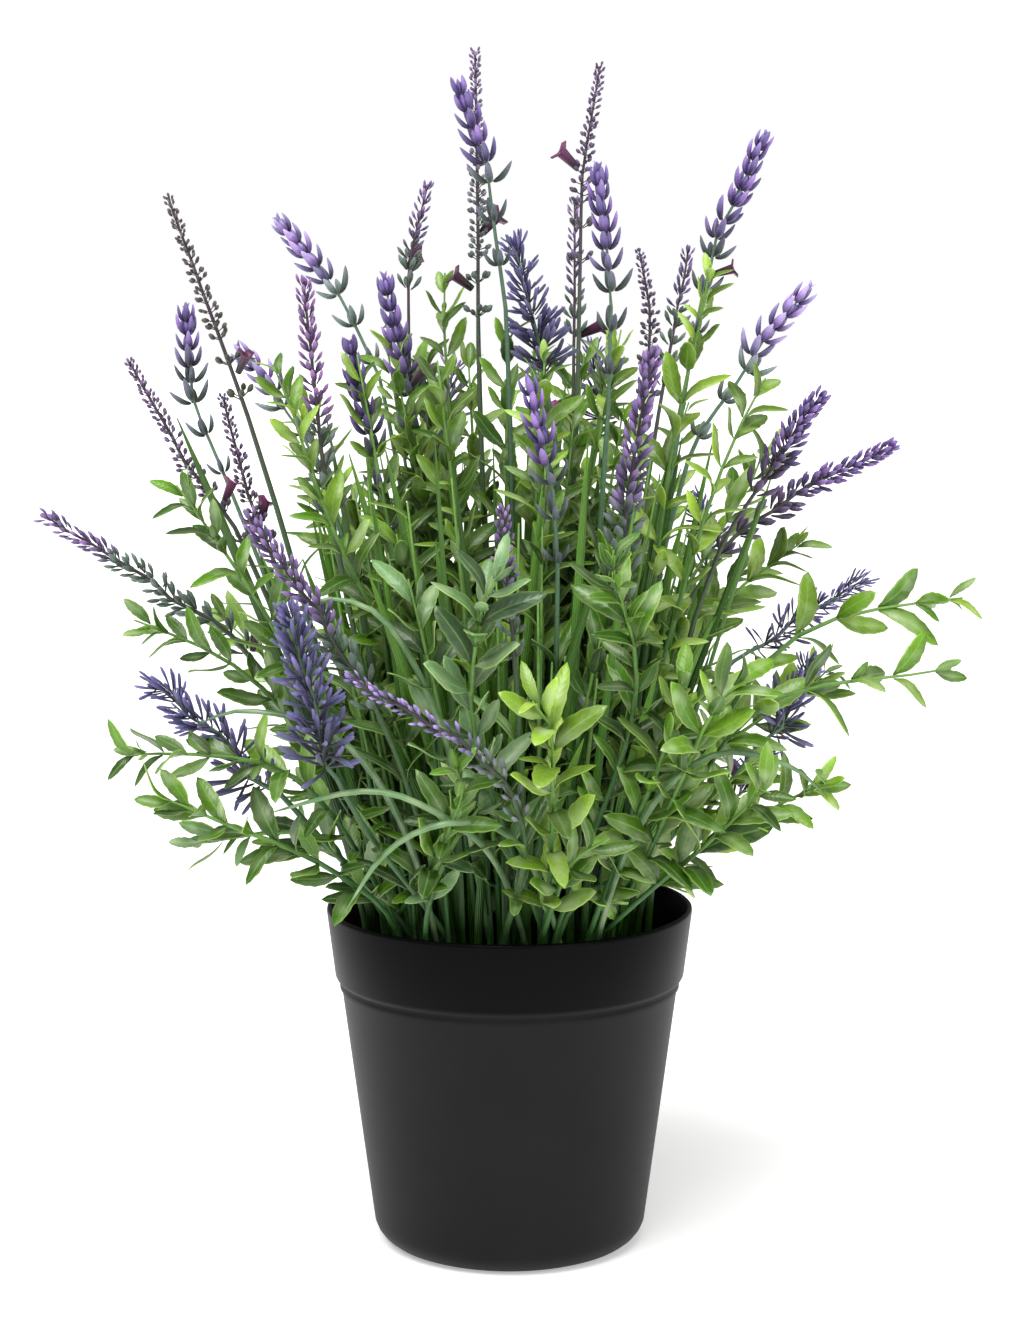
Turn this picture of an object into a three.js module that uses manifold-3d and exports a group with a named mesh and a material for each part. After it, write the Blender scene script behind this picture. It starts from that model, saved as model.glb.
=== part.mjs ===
// Potted lavender: a moulded pot with a rolled band, a plug of potting soil, lavender flower stems of four
// habits, forked leafy shoots and tufts of strap leaves. Millimetres, +Z up. The origin is the centre of the
// pot's underside, and -Y is the front. Every stem stands in its own hole in the soil.
import * as THREE from "three";
import { mergeVertices } from "three/addons/utils/BufferGeometryUtils.js";
import Module from "manifold-3d";

const wasm = await Module();
wasm.setup();

// ---- Driving dimensions ----
const POT = {
  height: 112, rimRadius: 60, bandFootRadius: 57.2, bandFootHeight: 89, shoulderRadius: 55.2,
  baseRadius: 43.4, cornerRadius: 9, wall: 1.8, footRing: 5, footHub: 13, footRecess: 2, sides: 40,
};
const SOIL = { top: 97, dome: 2.5, holeDepth: 16, sides: 24, socketRadius: 3 };
const GAP = 0.4; // clear space between pieces that lie side by side
const STEM_SIDES = 5;
const SHOOT_SIDES = 4;
const STEM_STEPS = 7;
const HEAD_SIDES = 6;
const LEAF = { length: 23, width: 6.5, thickness: 0.7, pairs: 2, spacing: 2 };
const STRAP = { width: 3.6, thickness: 0.8, steps: 6, crownRadius: 1.6, crownHeight: 8 };
const DEPTH_STEP = 3; // how far a stem is moved back or forwards at a time until it stands clear
const DEPTH_TRIES = 16;

// Planting holes: rings of [radius, number of holes], from the middle outwards.
const HOLE_RINGS = [[5, 3], [14, 7], [23, 12], [32, 16], [40, 19], [47, 12]];

// Flower habits: stem radius, the ripple of the head's outline (a share of its radius) and its colour.
const HABITS = {
  whorled: { stem: 1.1, waist: 0.3, bulges: 5, color: 0x6a55a8 },
  beaded: { stem: 1.0, waist: 0.6, bulges: 2, color: 0x5b3a66 },
  feathered: { stem: 1.0, waist: 0.7, bulges: 3, color: 0x76509a },
  bristled: { stem: 1.2, waist: 0.75, bulges: 2, color: 0x53508a },
};

// Flower stems: habit, tip [x, z], neck (the foot of the head) [x, z], a point on the bare stem [x, z],
// depth y of the neck, and the head's widest radius.
const FLOWERS = [
  ["beaded", [-11, 389], [-10, 327], [-10, 288], 12, 4],
  ["whorled", [-15, 373], [-5, 338], [-2, 322], -26, 6.5],
  ["beaded", [30, 386], [23, 345], [23, 290], 32, 4],
  ["whorled", [27, 349], [32, 305], [31, 275], -32, 6],
  ["whorled", [84, 362], [64, 320], [60, 295], 26, 6.5],
  ["whorled", [95, 313], [73, 285], [58, 262], -10, 6],
  ["whorled", [97, 281], [79, 254], [64, 228], -36, 7],
  ["feathered", [131, 263], [85, 243], [62, 218], 10, 6],
  ["beaded", [-107, 342], [-92, 300], [-77, 254], -16, 4.5],
  ["whorled", [-77, 335], [-54, 308], [-43, 284], 36, 6],
  ["whorled", [-109, 306], [-106, 270], [-90, 238], 42, 5.5],
  ["beaded", [-117, 291], [-98, 256], [-82, 232], -36, 4.5],
  ["feathered", [-150, 240], [-105, 213], [-84, 196], -6, 6],
  ["feathered", [-27, 348], [-35, 317], [-33, 280], 46, 4],
  ["feathered", [-62, 316], [-57, 262], [-51, 220], -46, 6],
  ["whorled", [-51, 295], [-42, 256], [-36, 218], -11, 6],
  ["whorled", [-41, 316], [-31, 272], [-26, 240], 11, 7.5],
  ["whorled", [-94, 292], [-75, 273], [-60, 240], 56, 5.5],
  ["beaded", [-93, 279], [-84, 243], [-70, 208], 5, 5],
  ["feathered", [-78, 247], [-50, 206], [-36, 176], -72, 7],
  ["bristled", [-64, 220], [-53, 173], [-43, 150], -86, 10.5],
  ["bristled", [-107, 193], [-76, 166], [-58, 143], -60, 8.5],
  ["feathered", [-47, 202], [-4, 175], [5, 148], -96, 5],
  ["whorled", [6, 283], [14, 250], [15, 222], -62, 6.5],
  ["bristled", [-19, 287], [-27, 245], [-24, 206], 58, 9.5],
  ["bristled", [1, 327], [12, 284], [16, 248], -4, 9.5],
  ["feathered", [43, 294], [34, 240], [34, 203], -56, 8],
  ["feathered", [22, 343], [22, 303], [21, 260], 56, 5],
  ["beaded", [44, 327], [49, 301], [45, 260], 66, 4],
  ["feathered", [61, 327], [56, 302], [48, 258], 50, 6],
  ["feathered", [-2, 250], [0, 222], [2, 200], -84, 5.5],
  ["bristled", [27, 293], [33, 268], [29, 234], 70, 9],
  ["bristled", [103, 189], [89, 166], [70, 143], 30, 8.5],
  ["bristled", [123, 213], [86, 193], [64, 174], 50, 6],
  ["bristled", [91, 151], [79, 144], [62, 126], 60, 7],
  ["bristled", [66, 240], [70, 218], [60, 188], 74, 7.5],
];

// Leafy shoots, each forking from one foot: branches of tip [x, y, z] and a point half way [x, y, z].
const SHOOTS = [
  [[[148, -12, 214], [88, -10, 202]], [[139, -48, 196], [80, -42, 186]]],
  [[[75, -82, 162], [56, -66, 140]], [[61, -92, 192], [47, -70, 152]]],
  [[[75, -52, 280], [58, -46, 240]], [[62, -42, 314], [50, -34, 268]]],
  [[[88, 22, 224], [66, 20, 205]], [[52, 96, 236], [38, 66, 190]]],
  [[[-23, 20, 312], [-20, 18, 262]], [[-68, -62, 284], [-51, -52, 232]]],
  [[[13, -108, 188], [14, -82, 152]], [[-8, -104, 226], [-12, -80, 184]]],
  [[[-110, -22, 206], [-80, -20, 190]], [[-97, -52, 246], [-72, -44, 208]]],
  [[[-106, -82, 176], [-66, -66, 168]], [[-94, -90, 160], [-60, -70, 142]]],
  [[[-92, -56, 143], [-62, -50, 146]], [[-12, -106, 166], [-22, -76, 138]]],
  [[[28, -98, 230], [40, -76, 196]], [[92, -60, 160], [62, -48, 142]]],
  [[[-66, 92, 168], [-46, 66, 146]], [[-34, 108, 214], [-26, 74, 172]]],
  [[[10, 112, 176], [6, 78, 148]], [[24, 88, 272], [16, 64, 214]]],
  [[[68, 88, 150], [48, 66, 134]], [[88, 66, 250], [58, 52, 206]]],
  [[[-98, 62, 196], [-64, 48, 168]], [[-70, 60, 262], [-48, 46, 208]]],
  [[[-40, 96, 140], [-30, 68, 130]], [[-16, 72, 246], [-12, 52, 196]]],
  [[[106, 56, 178], [70, 40, 158]], [[74, 92, 206], [56, 64, 168]]],
];

// Tufts of strap leaves: the crown's wanted place [x, y], and each strap's tip [x, y, z].
const TUFTS = [
  [[-14, -20], [[-40, -34, 262], [-22, -46, 236], [-34, -60, 206]]],
  [[12, -22], [[10, -42, 254], [28, -56, 230], [2, -66, 200]]],
  [[30, -10], [[58, -20, 244], [66, -36, 210], [48, -34, 262]]],
  [[-28, 12], [[-62, 16, 240], [-48, 34, 260], [-78, 8, 206]]],
  [[2, 16], [[0, 40, 276], [-16, 58, 240], [8, 24, 300]]],
  [[24, 22], [[52, 44, 250], [38, 66, 226], [64, 30, 214]]],
];

const COLORS = { pot: 0x1c1c1d, soil: 0x2c2119, leaf: 0x5f8f3a, strap: 0x568f2f };

// ---- Solids ----

/** A closed three.js geometry as a manifold solid. */
function solidOf(geometry) {
  const plain = geometry.index ? geometry.toNonIndexed() : geometry.clone();
  plain.deleteAttribute("normal");
  plain.deleteAttribute("uv");
  const merged = mergeVertices(plain, 1e-4);
  const mesh = new wasm.Mesh({
    numProp: 3,
    vertProperties: merged.attributes.position.array,
    triVerts: new Uint32Array(merged.index.array),
  });
  return new wasm.Manifold(mesh);
}

/** Several solids as one. */
function joined(solids) {
  return solids.reduce((all, solid) => all.add(solid));
}

/** A manifold solid as a named three.js mesh. */
function meshOf(name, solid, color, roughness) {
  const found = solid.getMesh();
  const geometry = new THREE.BufferGeometry();
  geometry.setAttribute("position", new THREE.BufferAttribute(found.vertProperties, 3));
  geometry.setIndex(new THREE.BufferAttribute(found.triVerts, 1));
  geometry.computeVertexNormals();
  const material = new THREE.MeshStandardMaterial({ color, roughness, metalness: 0 });
  const mesh = new THREE.Mesh(geometry, material);
  mesh.name = name;
  return mesh;
}

/** A lathe about +Z of [radius, height] points, which start and end on the axis. */
function turned(points, sides) {
  const profile = points.map(([radius, height]) => new THREE.Vector2(radius, height));
  return new THREE.LatheGeometry(profile, sides).rotateX(Math.PI / 2);
}

/** A straight-sided section swept along a curve. */
function swept(curve, outline, steps) {
  return new THREE.ExtrudeGeometry(new THREE.Shape(outline), { steps, extrudePath: curve, curveSegments: 1 });
}

function polygon(radius, sides) {
  return Array.from({ length: sides }, (_, i) => {
    const angle = (2 * Math.PI * i) / sides;
    return new THREE.Vector2(radius * Math.cos(angle), radius * Math.sin(angle));
  });
}

/** Turns +Z to a direction. */
function aimed(direction) {
  const up = new THREE.Vector3(0, 0, 1);
  return new THREE.Quaternion().setFromUnitVectors(up, direction.clone().normalize());
}

/** The same curve, carried on straight past both ends by a length. */
function stretched(curve, extra) {
  const points = curve.points.map((p) => p.clone());
  points[0].addScaledVector(curve.getTangent(0), -extra);
  points[points.length - 1].addScaledVector(curve.getTangent(1), extra);
  return new THREE.CatmullRomCurve3(points, false, "centripetal");
}

// ---- Pot and soil ----

/** Arc points of a rounded corner, from the floor up to the wall. */
function corner(centreRadius, centreHeight, radius, steps) {
  return Array.from({ length: steps + 1 }, (_, i) => {
    const angle = (Math.PI / 2) * (i / steps);
    return [centreRadius + radius * Math.sin(angle), centreHeight - radius * Math.cos(angle)];
  });
}

function pot() {
  const { wall, cornerRadius, baseRadius } = POT;
  const innerCorner = cornerRadius - wall;
  const flat = baseRadius - cornerRadius + 1.6;
  const lipDrop = 0.8;
  const outside = [
    [0, 0], [POT.footHub, 0], [POT.footHub + 1, POT.footRecess],
    [flat - POT.footRing - 1, POT.footRecess], [flat - POT.footRing, 0],
    ...corner(flat, cornerRadius, cornerRadius, 4),
    [POT.shoulderRadius, POT.bandFootHeight - 2.4], [POT.bandFootRadius, POT.bandFootHeight],
    [POT.rimRadius - 0.2, POT.height - lipDrop], [POT.rimRadius - 0.7, POT.height],
  ];
  const inside = [
    [POT.rimRadius - wall, POT.height], [POT.bandFootRadius - wall, POT.bandFootHeight + 1],
    [POT.shoulderRadius - wall, POT.bandFootHeight - 3],
    ...corner(flat, cornerRadius + POT.footRecess, innerCorner, 2).reverse(),
    [0, POT.footRecess + wall],
  ];
  return solidOf(turned([...outside, ...inside], POT.sides));
}

/** Inside radius of the pot's wall at a height. */
function insideRadius(height) {
  const flat = POT.baseRadius - POT.cornerRadius + 1.6;
  const foot = [flat + POT.cornerRadius - POT.wall, POT.cornerRadius + POT.footRecess];
  const head = [POT.shoulderRadius - POT.wall, POT.bandFootHeight - 3];
  const share = (height - foot[1]) / (head[1] - foot[1]);
  return foot[0] + (head[0] - foot[0]) * share;
}

function soilPlug() {
  const clear = 0.6;
  const low = POT.cornerRadius + POT.footRecess;
  const shoulder = POT.bandFootHeight - 3;
  const points = [
    [0, POT.footRecess + POT.wall + clear], [POT.baseRadius - POT.cornerRadius, POT.footRecess + POT.wall + clear],
    [insideRadius(low) - clear, low + 1], [insideRadius(shoulder) - clear, shoulder - clear],
    [insideRadius(shoulder) - clear, SOIL.top - SOIL.dome], [0, SOIL.top],
  ];
  return solidOf(turned(points, SOIL.sides));
}

// ---- Standing clear of what is already planted ----

const planted = [];

function clashes(solid) {
  return planted.some((other) => solid.intersect(other).numTri() > 0);
}

const holes = HOLE_RINGS.flatMap(([radius, count], ring) =>
  Array.from({ length: count }, (_, i) => {
    const angle = (2 * Math.PI * (i + 0.5 * (ring % 2))) / count;
    return { x: radius * Math.cos(angle), y: radius * Math.sin(angle), taken: false };
  }),
);
const sockets = [];

/** The socket that a planted foot stands in: a little wider and deeper than the stem. */
function socket({ x, y }, radius) {
  const floor = new THREE.Vector3(x, y, SOIL.top - SOIL.holeDepth - GAP);
  const line = new THREE.LineCurve3(floor, new THREE.Vector3(x, y, SOIL.top + 1));
  return solidOf(swept(line, polygon(radius, STEM_SIDES), 1));
}

/** The nearest free planting hole to a place. */
function takeHole(x, y) {
  const free = holes.filter((hole) => !hole.taken);
  const distance = (hole) => Math.hypot(hole.x - x, hole.y - y);
  const nearest = free.reduce((best, hole) => (distance(hole) < distance(best) ? hole : best));
  nearest.taken = true;
  sockets.push(socket(nearest, SOIL.socketRadius));
  return nearest;
}

/** Where a stem that leans towards a point wants its foot: near the axis for an upright stem. */
function footTowards(x, y) {
  const reach = Math.hypot(x, y);
  const radius = Math.min(44, 0.5 * reach);
  return reach ? takeHole((x / reach) * radius, (y / reach) * radius) : takeHole(0, 0);
}

/** A stem's centre line: upright out of its hole, then through the given points. */
function stemCurve(hole, points) {
  const root = new THREE.Vector3(hole.x, hole.y, SOIL.top - SOIL.holeDepth);
  const foot = new THREE.Vector3(hole.x, hole.y, SOIL.top + 4);
  return new THREE.CatmullRomCurve3([root, foot, ...points], false, "centripetal");
}

function stemSolid(curve, radius, sides, extra = 0) {
  const line = extra ? stretched(curve, extra) : curve;
  return solidOf(swept(line, polygon(radius + extra, sides), STEM_STEPS));
}

/** Tries a piece at its own depth and then further back and forwards, until it stands clear of the others. */
function plantClear(build) {
  for (let i = 0; i <= DEPTH_TRIES; i += 1) {
    const shift = DEPTH_STEP * Math.ceil(i / 2) * (i % 2 ? 1 : -1);
    const made = build(shift);
    if (!clashes(made.fat)) return made;
  }
  return null;
}

// ---- Flower stems ----

/** The outline of a flower head: bulges that shrink towards the tip. */
function headProfile(habit, length, radius) {
  const { bulges, waist } = HABITS[habit];
  const points = [[0, 0]];
  for (let i = 0; i < bulges; i += 1) {
    const taper = 1 - (0.62 * i) / bulges;
    points.push([radius * waist * taper, (length * i) / bulges]);
    points.push([radius * taper, (length * (i + 0.6)) / bulges]);
  }
  points[1][1] = length * 0.02;
  points.push([0, length]);
  return points;
}

function headSolid(habit, neck, tip, radius, extra = 0) {
  const line = tip.clone().sub(neck);
  const profile = headProfile(habit, line.length() + 2 * extra, radius + extra);
  const start = neck.clone().addScaledVector(line.clone().normalize(), -extra);
  const geometry = turned(profile, HEAD_SIDES).applyQuaternion(aimed(line));
  return solidOf(geometry.translate(start.x, start.y, start.z));
}

function flower([habit, tip, neck, mid, depth, radius]) {
  const hole = footTowards(mid[0], depth * 0.8);
  return plantClear((shift) => {
    const y = depth + shift;
    const neckPoint = new THREE.Vector3(neck[0], y, neck[1]);
    const tipPoint = new THREE.Vector3(tip[0], y * 1.12, tip[1]);
    const inHead = neckPoint.clone().lerp(tipPoint, 0.12);
    const curve = stemCurve(hole, [new THREE.Vector3(mid[0], y * 0.82, mid[1]), neckPoint, inHead]);
    const stem = HABITS[habit].stem;
    const fat = stemSolid(curve, stem, STEM_SIDES, GAP).add(headSolid(habit, neckPoint, tipPoint, radius, GAP));
    const solid = stemSolid(curve, stem, STEM_SIDES).add(headSolid(habit, neckPoint, tipPoint, radius));
    return { fat, solid };
  });
}

// ---- Leafy shoots ----

const leafOutline = [[0, 0], [0.45, -0.5], [1, 0], [0.45, 0.5]];

/** A flat leaf from a point, along a direction, with its face turned to the sky. */
function leafSolid(base, direction, length, extra = 0) {
  const outline = leafOutline.map(([along, across]) => {
    const reach = along * (length + 2 * extra);
    return new THREE.Vector2(reach, across * (LEAF.width + 4 * extra));
  });
  const thickness = LEAF.thickness + 2 * extra;
  const geometry = new THREE.ExtrudeGeometry(new THREE.Shape(outline), { depth: thickness, bevelEnabled: false });
  geometry.translate(0, 0, -thickness / 2);
  const forward = direction.clone().normalize();
  const side = new THREE.Vector3(0, 0, 1).cross(forward).normalize();
  const face = forward.clone().cross(side);
  const place = new THREE.Matrix4().makeBasis(forward, side, face).setPosition(base);
  return solidOf(geometry.applyMatrix4(place));
}

/** Pairs of leaves down a branch from its tip: each pair stands turned from the last, where there is room. */
function leavesOn(curve, own) {
  const stations = curve.getSpacedPoints(STEM_STEPS);
  let grown = own;
  for (let i = 0; i < LEAF.pairs; i += 1) {
    const place = STEM_STEPS - i * LEAF.spacing;
    const along = stations[place].clone().sub(stations[place - 1]).normalize();
    const level = new THREE.Vector3(-along.y, along.x, 0).normalize();
    for (const turn of [0, Math.PI]) {
      const out = level.clone().applyAxisAngle(along, turn + (i % 2) * 1.3);
      const direction = out.addScaledVector(along, i ? 0.7 : 1.4).normalize();
      const base = stations[place].clone().addScaledVector(direction, -1);
      const size = LEAF.length * (i ? 1 : 0.75);
      if (!clashes(leafSolid(base, direction, size, GAP))) grown = grown.add(leafSolid(base, direction, size));
    }
  }
  return grown;
}

/** A shoot's main branch grows from the soil, and each other branch forks from it. */
function shoot(branches) {
  const [[, [startX, startY]]] = branches;
  const hole = footTowards(startX * 0.9, startY * 0.9);
  const radius = 0.95;
  const made = [];
  for (const [tip, mid] of branches) {
    const fork = made.length ? made[0].curve.getSpacedPoints(STEM_STEPS)[2] : null;
    const branch = plantClear((shift) => {
      const middle = new THREE.Vector3(mid[0], mid[1] + shift * 0.7, mid[2]);
      const end = new THREE.Vector3(tip[0], tip[1] + shift, tip[2]);
      const forked = () => new THREE.CatmullRomCurve3([fork, middle, end], false, "centripetal");
      const curve = fork ? forked() : stemCurve(hole, [middle, end]);
      const fat = stemSolid(curve, radius, SHOOT_SIDES, GAP);
      return { curve, fat, solid: stemSolid(curve, radius, SHOOT_SIDES) };
    });
    if (branch) made.push(branch);
  }
  return made;
}

// ---- Tufts of strap leaves ----

function strapSolid(curve, extra = 0) {
  const halfWidth = STRAP.width / 2 + extra;
  const halfThickness = STRAP.thickness / 2 + extra;
  const corners = [[-1, -1], [1, -1], [1, 1], [-1, 1]];
  const outline = corners.map(([a, b]) => new THREE.Vector2(a * halfThickness, b * halfWidth));
  return solidOf(swept(extra ? stretched(curve, extra) : curve, outline, STRAP.steps));
}

/** Straps that spread from one crown, which stands in the soil. */
function tuft([place, tips]) {
  const hole = takeHole(...place);
  const root = new THREE.Vector3(hole.x, hole.y, SOIL.top - SOIL.holeDepth);
  const crownTop = new THREE.Vector3(hole.x, hole.y, SOIL.top + STRAP.crownHeight);
  const crown = solidOf(swept(new THREE.LineCurve3(root, crownTop), polygon(STRAP.crownRadius, STEM_SIDES), 1));
  const straps = tips.map((tip) =>
    plantClear((shift) => {
      const end = new THREE.Vector3(tip[0], tip[1] + shift, tip[2]);
      const start = crownTop.clone().lerp(root, 0.2);
      const middle = crownTop.clone().lerp(end, 0.45);
      middle.z += 12;
      const curve = new THREE.CatmullRomCurve3([start, middle, end], false, "centripetal");
      return { fat: strapSolid(curve, GAP), solid: strapSolid(curve) };
    }),
  );
  return joined([crown, ...straps.filter((strap) => strap).map((strap) => strap.solid)]);
}

// ---- Assembly ----

const lavender = new THREE.Group();
const numbered = (label, index) => `${label}_${String(index + 1).padStart(2, "0")}`;
const pieces = []; // {name, solid, color}

function keep(piece) {
  pieces.push(piece);
  planted.push(piece.solid);
}

const potSolid = pot();
planted.push(potSolid);

FLOWERS.forEach((row, index) => {
  const made = flower(row);
  const name = numbered(`${row[0]}_flower_stem`, index);
  if (!made) throw new Error(`${name} finds no clear place`);
  keep({ name, solid: made.solid, color: HABITS[row[0]].color });
});

TUFTS.forEach((row, index) => {
  keep({ name: numbered("strap_leaf_tuft", index), solid: tuft(row), color: COLORS.strap });
});

const shoots = SHOOTS.map((row, index) => {
  const made = shoot(row);
  const name = numbered("leafy_shoot", index);
  if (!made.length) throw new Error(`${name} finds no clear place`);
  const piece = { name, solid: joined(made.map((branch) => branch.solid)), color: COLORS.leaf };
  keep(piece);
  return { piece, curves: made.map((branch) => branch.curve) };
});

for (const { piece, curves } of shoots) {
  const place = planted.indexOf(piece.solid);
  planted.splice(place, 1);
  for (const curve of curves) piece.solid = leavesOn(curve, piece.solid);
  planted.push(piece.solid);
}

lavender.add(meshOf("pot", potSolid, COLORS.pot, 0.55));
lavender.add(meshOf("potting_soil", soilPlug().subtract(joined(sockets)), COLORS.soil, 0.95));
for (const { name, solid, color } of pieces) lavender.add(meshOf(name, solid, color, 0.6));

export default lavender;
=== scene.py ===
"""Potted lavender: the visible plant and its pot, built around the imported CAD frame.

Lengths are metres, and a name that ends in _mm is in millimetres. The origin is the centre of the pot's
underside, +Z is up and -Y is the front.
"""
import heapq
import logging
import math
import random
from collections.abc import Sequence
from dataclasses import dataclass, field
from enum import Enum

import bmesh
import bpy
from bpy.types import Material, Mesh, Node, NodeSocket, NodeTree, Object
from mathutils import Matrix, Vector, noise


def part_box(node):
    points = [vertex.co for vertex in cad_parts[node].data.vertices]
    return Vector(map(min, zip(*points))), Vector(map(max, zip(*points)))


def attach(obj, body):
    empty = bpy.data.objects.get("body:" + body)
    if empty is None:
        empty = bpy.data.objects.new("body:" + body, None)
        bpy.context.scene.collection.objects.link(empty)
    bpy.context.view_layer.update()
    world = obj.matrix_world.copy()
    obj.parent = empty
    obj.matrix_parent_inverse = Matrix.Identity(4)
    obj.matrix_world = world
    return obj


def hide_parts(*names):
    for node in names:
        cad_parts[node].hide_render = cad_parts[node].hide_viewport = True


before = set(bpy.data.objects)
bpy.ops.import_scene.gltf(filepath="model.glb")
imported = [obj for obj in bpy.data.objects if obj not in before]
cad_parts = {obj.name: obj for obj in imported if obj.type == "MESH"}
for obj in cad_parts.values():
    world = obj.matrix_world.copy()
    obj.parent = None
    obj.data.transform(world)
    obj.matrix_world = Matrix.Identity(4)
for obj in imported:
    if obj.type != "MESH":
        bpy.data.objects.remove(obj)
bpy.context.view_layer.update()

MM = 0.001
BODY = "root"
# The dye's own shade is a random tone; on the leaves of leafy shoots and sprays it also holds painted shade
# inside the bush.
DYE = "dye"  # vertex attribute: spike or plant shade, own shade, along the part, across the part
UP = Vector((0, 0, 1))
BACK = Vector((0, 1, 0))
ROOTING = 93 * MM  # height where the extra sprays and blades start, just inside the soil
STRAP = ((0, 0.6), (0.3, 1.0), (0.8, 0.8), (0.95, 0.4), (1, 0.1))  # a strap leaf's half width by place
SAME = 1e-6  # corners nearer than this are one

logger = logging.getLogger("lavender")


# ---- Finishes ----


def linear(colour: str) -> tuple[float, float, float, float]:
    """Turns an sRGB hex value into a linear colour.

    Args:
        colour: a # and six hex digits.

    Returns:
        Linear red, green, blue and an alpha of 1.
    """
    parts = [int(colour[i : i + 2], 16) / 255 for i in (1, 3, 5)]
    turned = [c / 12.92 if c <= 0.04045 else ((c + 0.055) / 1.055) ** 2.4 for c in parts]
    return (*turned, 1.0)


@dataclass(frozen=True)
class Nodes:
    """A node tree that grows node by node."""

    tree: NodeTree

    def join(self, source: Node | NodeSocket, target: NodeSocket) -> None:
        """Links a socket, or a node's first output, to an input."""
        self.tree.links.new(source.outputs[0] if isinstance(source, Node) else source, target)

    def add(self, kind: str, settings: dict | None = None, links: dict | None = None) -> Node:
        """Adds one node with its settings and links.

        Args:
            kind: the node's type without its ShaderNode prefix.
            settings: values by property, or by input name or number, and a ramp's colours as stops.
            links: what feeds each input, by its name or number.

        Returns:
            The new node.
        """
        made = self.tree.nodes.new("ShaderNode" + kind)
        for key, value in (settings or {}).items():
            if key == "stops":
                elements = made.color_ramp.elements
                elements.remove(elements[-1])
                for number, (place, colour) in enumerate(value.items()):
                    stop = elements.new(place) if number else elements[0]
                    stop.position = place
                    stop.color = linear(colour)
            elif isinstance(key, str) and hasattr(made, key):
                setattr(made, key, value)
            else:
                made.inputs[key].default_value = value
        for key, source in (links or {}).items():
            self.join(source, made.inputs[key])
        return made

    def dyes(self) -> tuple[NodeSocket, ...]:
        """Returns the dye attribute's plant shade, own shade, along and across."""
        source = self.add("Attribute", {"attribute_name": DYE})
        parts = self.add("SeparateColor", links={"Color": source.outputs["Color"]})
        return (*parts.outputs[0:3], source.outputs["Alpha"])

    def mottle(self, grain_mm: float, detail: float = 3.0) -> Node:
        """Makes noise on the object's own coordinates.

        Args:
            grain_mm: width of one patch.
            detail: octaves of finer noise.

        Returns:
            The noise.
        """
        place = self.add("TexCoord").outputs["Object"]
        settings = {"Scale": 1 / (grain_mm * MM), "Detail": detail, "Roughness": 0.55}
        return self.add("TexNoise", settings, {"Vector": place})

    def blend(self, *shares: tuple) -> Node:
        """Maps each source to a range and multiplies the results.

        Args:
            shares: source, result at its start and at its end, and that start and end if not 0 and 1.

        Returns:
            The node that gives the product.
        """
        result = None
        for source, low, high, *span in shares:
            start, end = span or (0.0, 1.0)
            settings = {"From Min": start, "From Max": end, "To Min": low, "To Max": high}
            mapped = self.add("MapRange", settings, {0: source})
            result = self.add("Math", {"operation": "MULTIPLY"}, {0: result, 1: mapped}) if result else mapped
        return result

    def lay(self, colour: Node | NodeSocket, *layers: tuple) -> NodeSocket:
        """Lays plain colours over another, one by one.

        Args:
            colour: the colour below.
            layers: each one's share and sRGB hex value.

        Returns:
            The colour on top.
        """
        for share, over in layers:
            mix = self.add("Mix", {"data_type": "RGBA", 7: linear(over)}, {0: share, 6: colour})
            colour = mix.outputs[2]
        return colour


class Finish:
    """What every finish shares: a name, the shader's own sockets, a relief and nodes."""

    name: str
    sockets: dict
    relief_mm: float

    def weave(self, nodes: Nodes) -> dict:
        """Returns what feeds the shader, by socket, and the relief's height."""
        return {}

    def material(self) -> Material:
        """Returns the finished material."""
        made = bpy.data.materials.new(self.name)
        made.use_nodes = True
        nodes = Nodes(made.node_tree)
        shader = made.node_tree.nodes["Principled BSDF"]
        for socket, value in self.sockets.items():
            shader.inputs[socket].default_value = value
        links = self.weave(nodes)
        if "Height" in links:
            settings = {"Strength": 1.0, "Distance": self.relief_mm * MM}
            links["Normal"] = nodes.add("Bump", settings, {"Height": links.pop("Height")})
        for socket, source in links.items():
            nodes.join(source, shader.inputs[socket])
        return made


@dataclass(frozen=True)
class SatinPolypropylene(Finish):
    """Injection-moulded black polypropylene: it greys in soft light; its sleeker band is darkened by painted
    shade.
    """

    name: str = "satin_polypropylene"
    # painted shade: the dark colour laid over the band
    band: str = "#050506"
    body: str = "#101011"
    worn: str = "#141415"
    band_height: float = 88.5 * MM
    cloud_mm: float = 28.0
    grain_mm: float = 0.35
    relief_mm: float = 0.012
    sockets = {"IOR": 1.49}

    def weave(self, nodes: Nodes) -> dict:
        """Weaves a faint cloud, the sleeker band with its painted shade, and a fine moulded grain.

        Args:
            nodes: the material's nodes.

        Returns:
            What feeds each socket.
        """
        colours = {0.3: self.body, 0.75: self.worn}
        base = nodes.add("ValToRGB", {"stops": colours}, {0: nodes.mottle(self.cloud_mm, 2.0)})
        place = nodes.add("TexCoord").outputs["Object"]
        height = nodes.add("SeparateXYZ", links={0: place}).outputs["Z"]
        banded = nodes.blend((height, 0.0, 1.0, self.band_height, self.band_height + 1.5 * MM))
        return {
            # painted shade darkens the band's colour; its lower roughness and specular are its sleeker finish
            "Base Color": nodes.lay(base, (banded, self.band)),
            "Roughness": nodes.blend((banded, 0.5, 0.4)),
            "Specular IOR Level": nodes.blend((banded, 0.13, 0.06)),
            "Height": nodes.mottle(self.grain_mm),
        }


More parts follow.
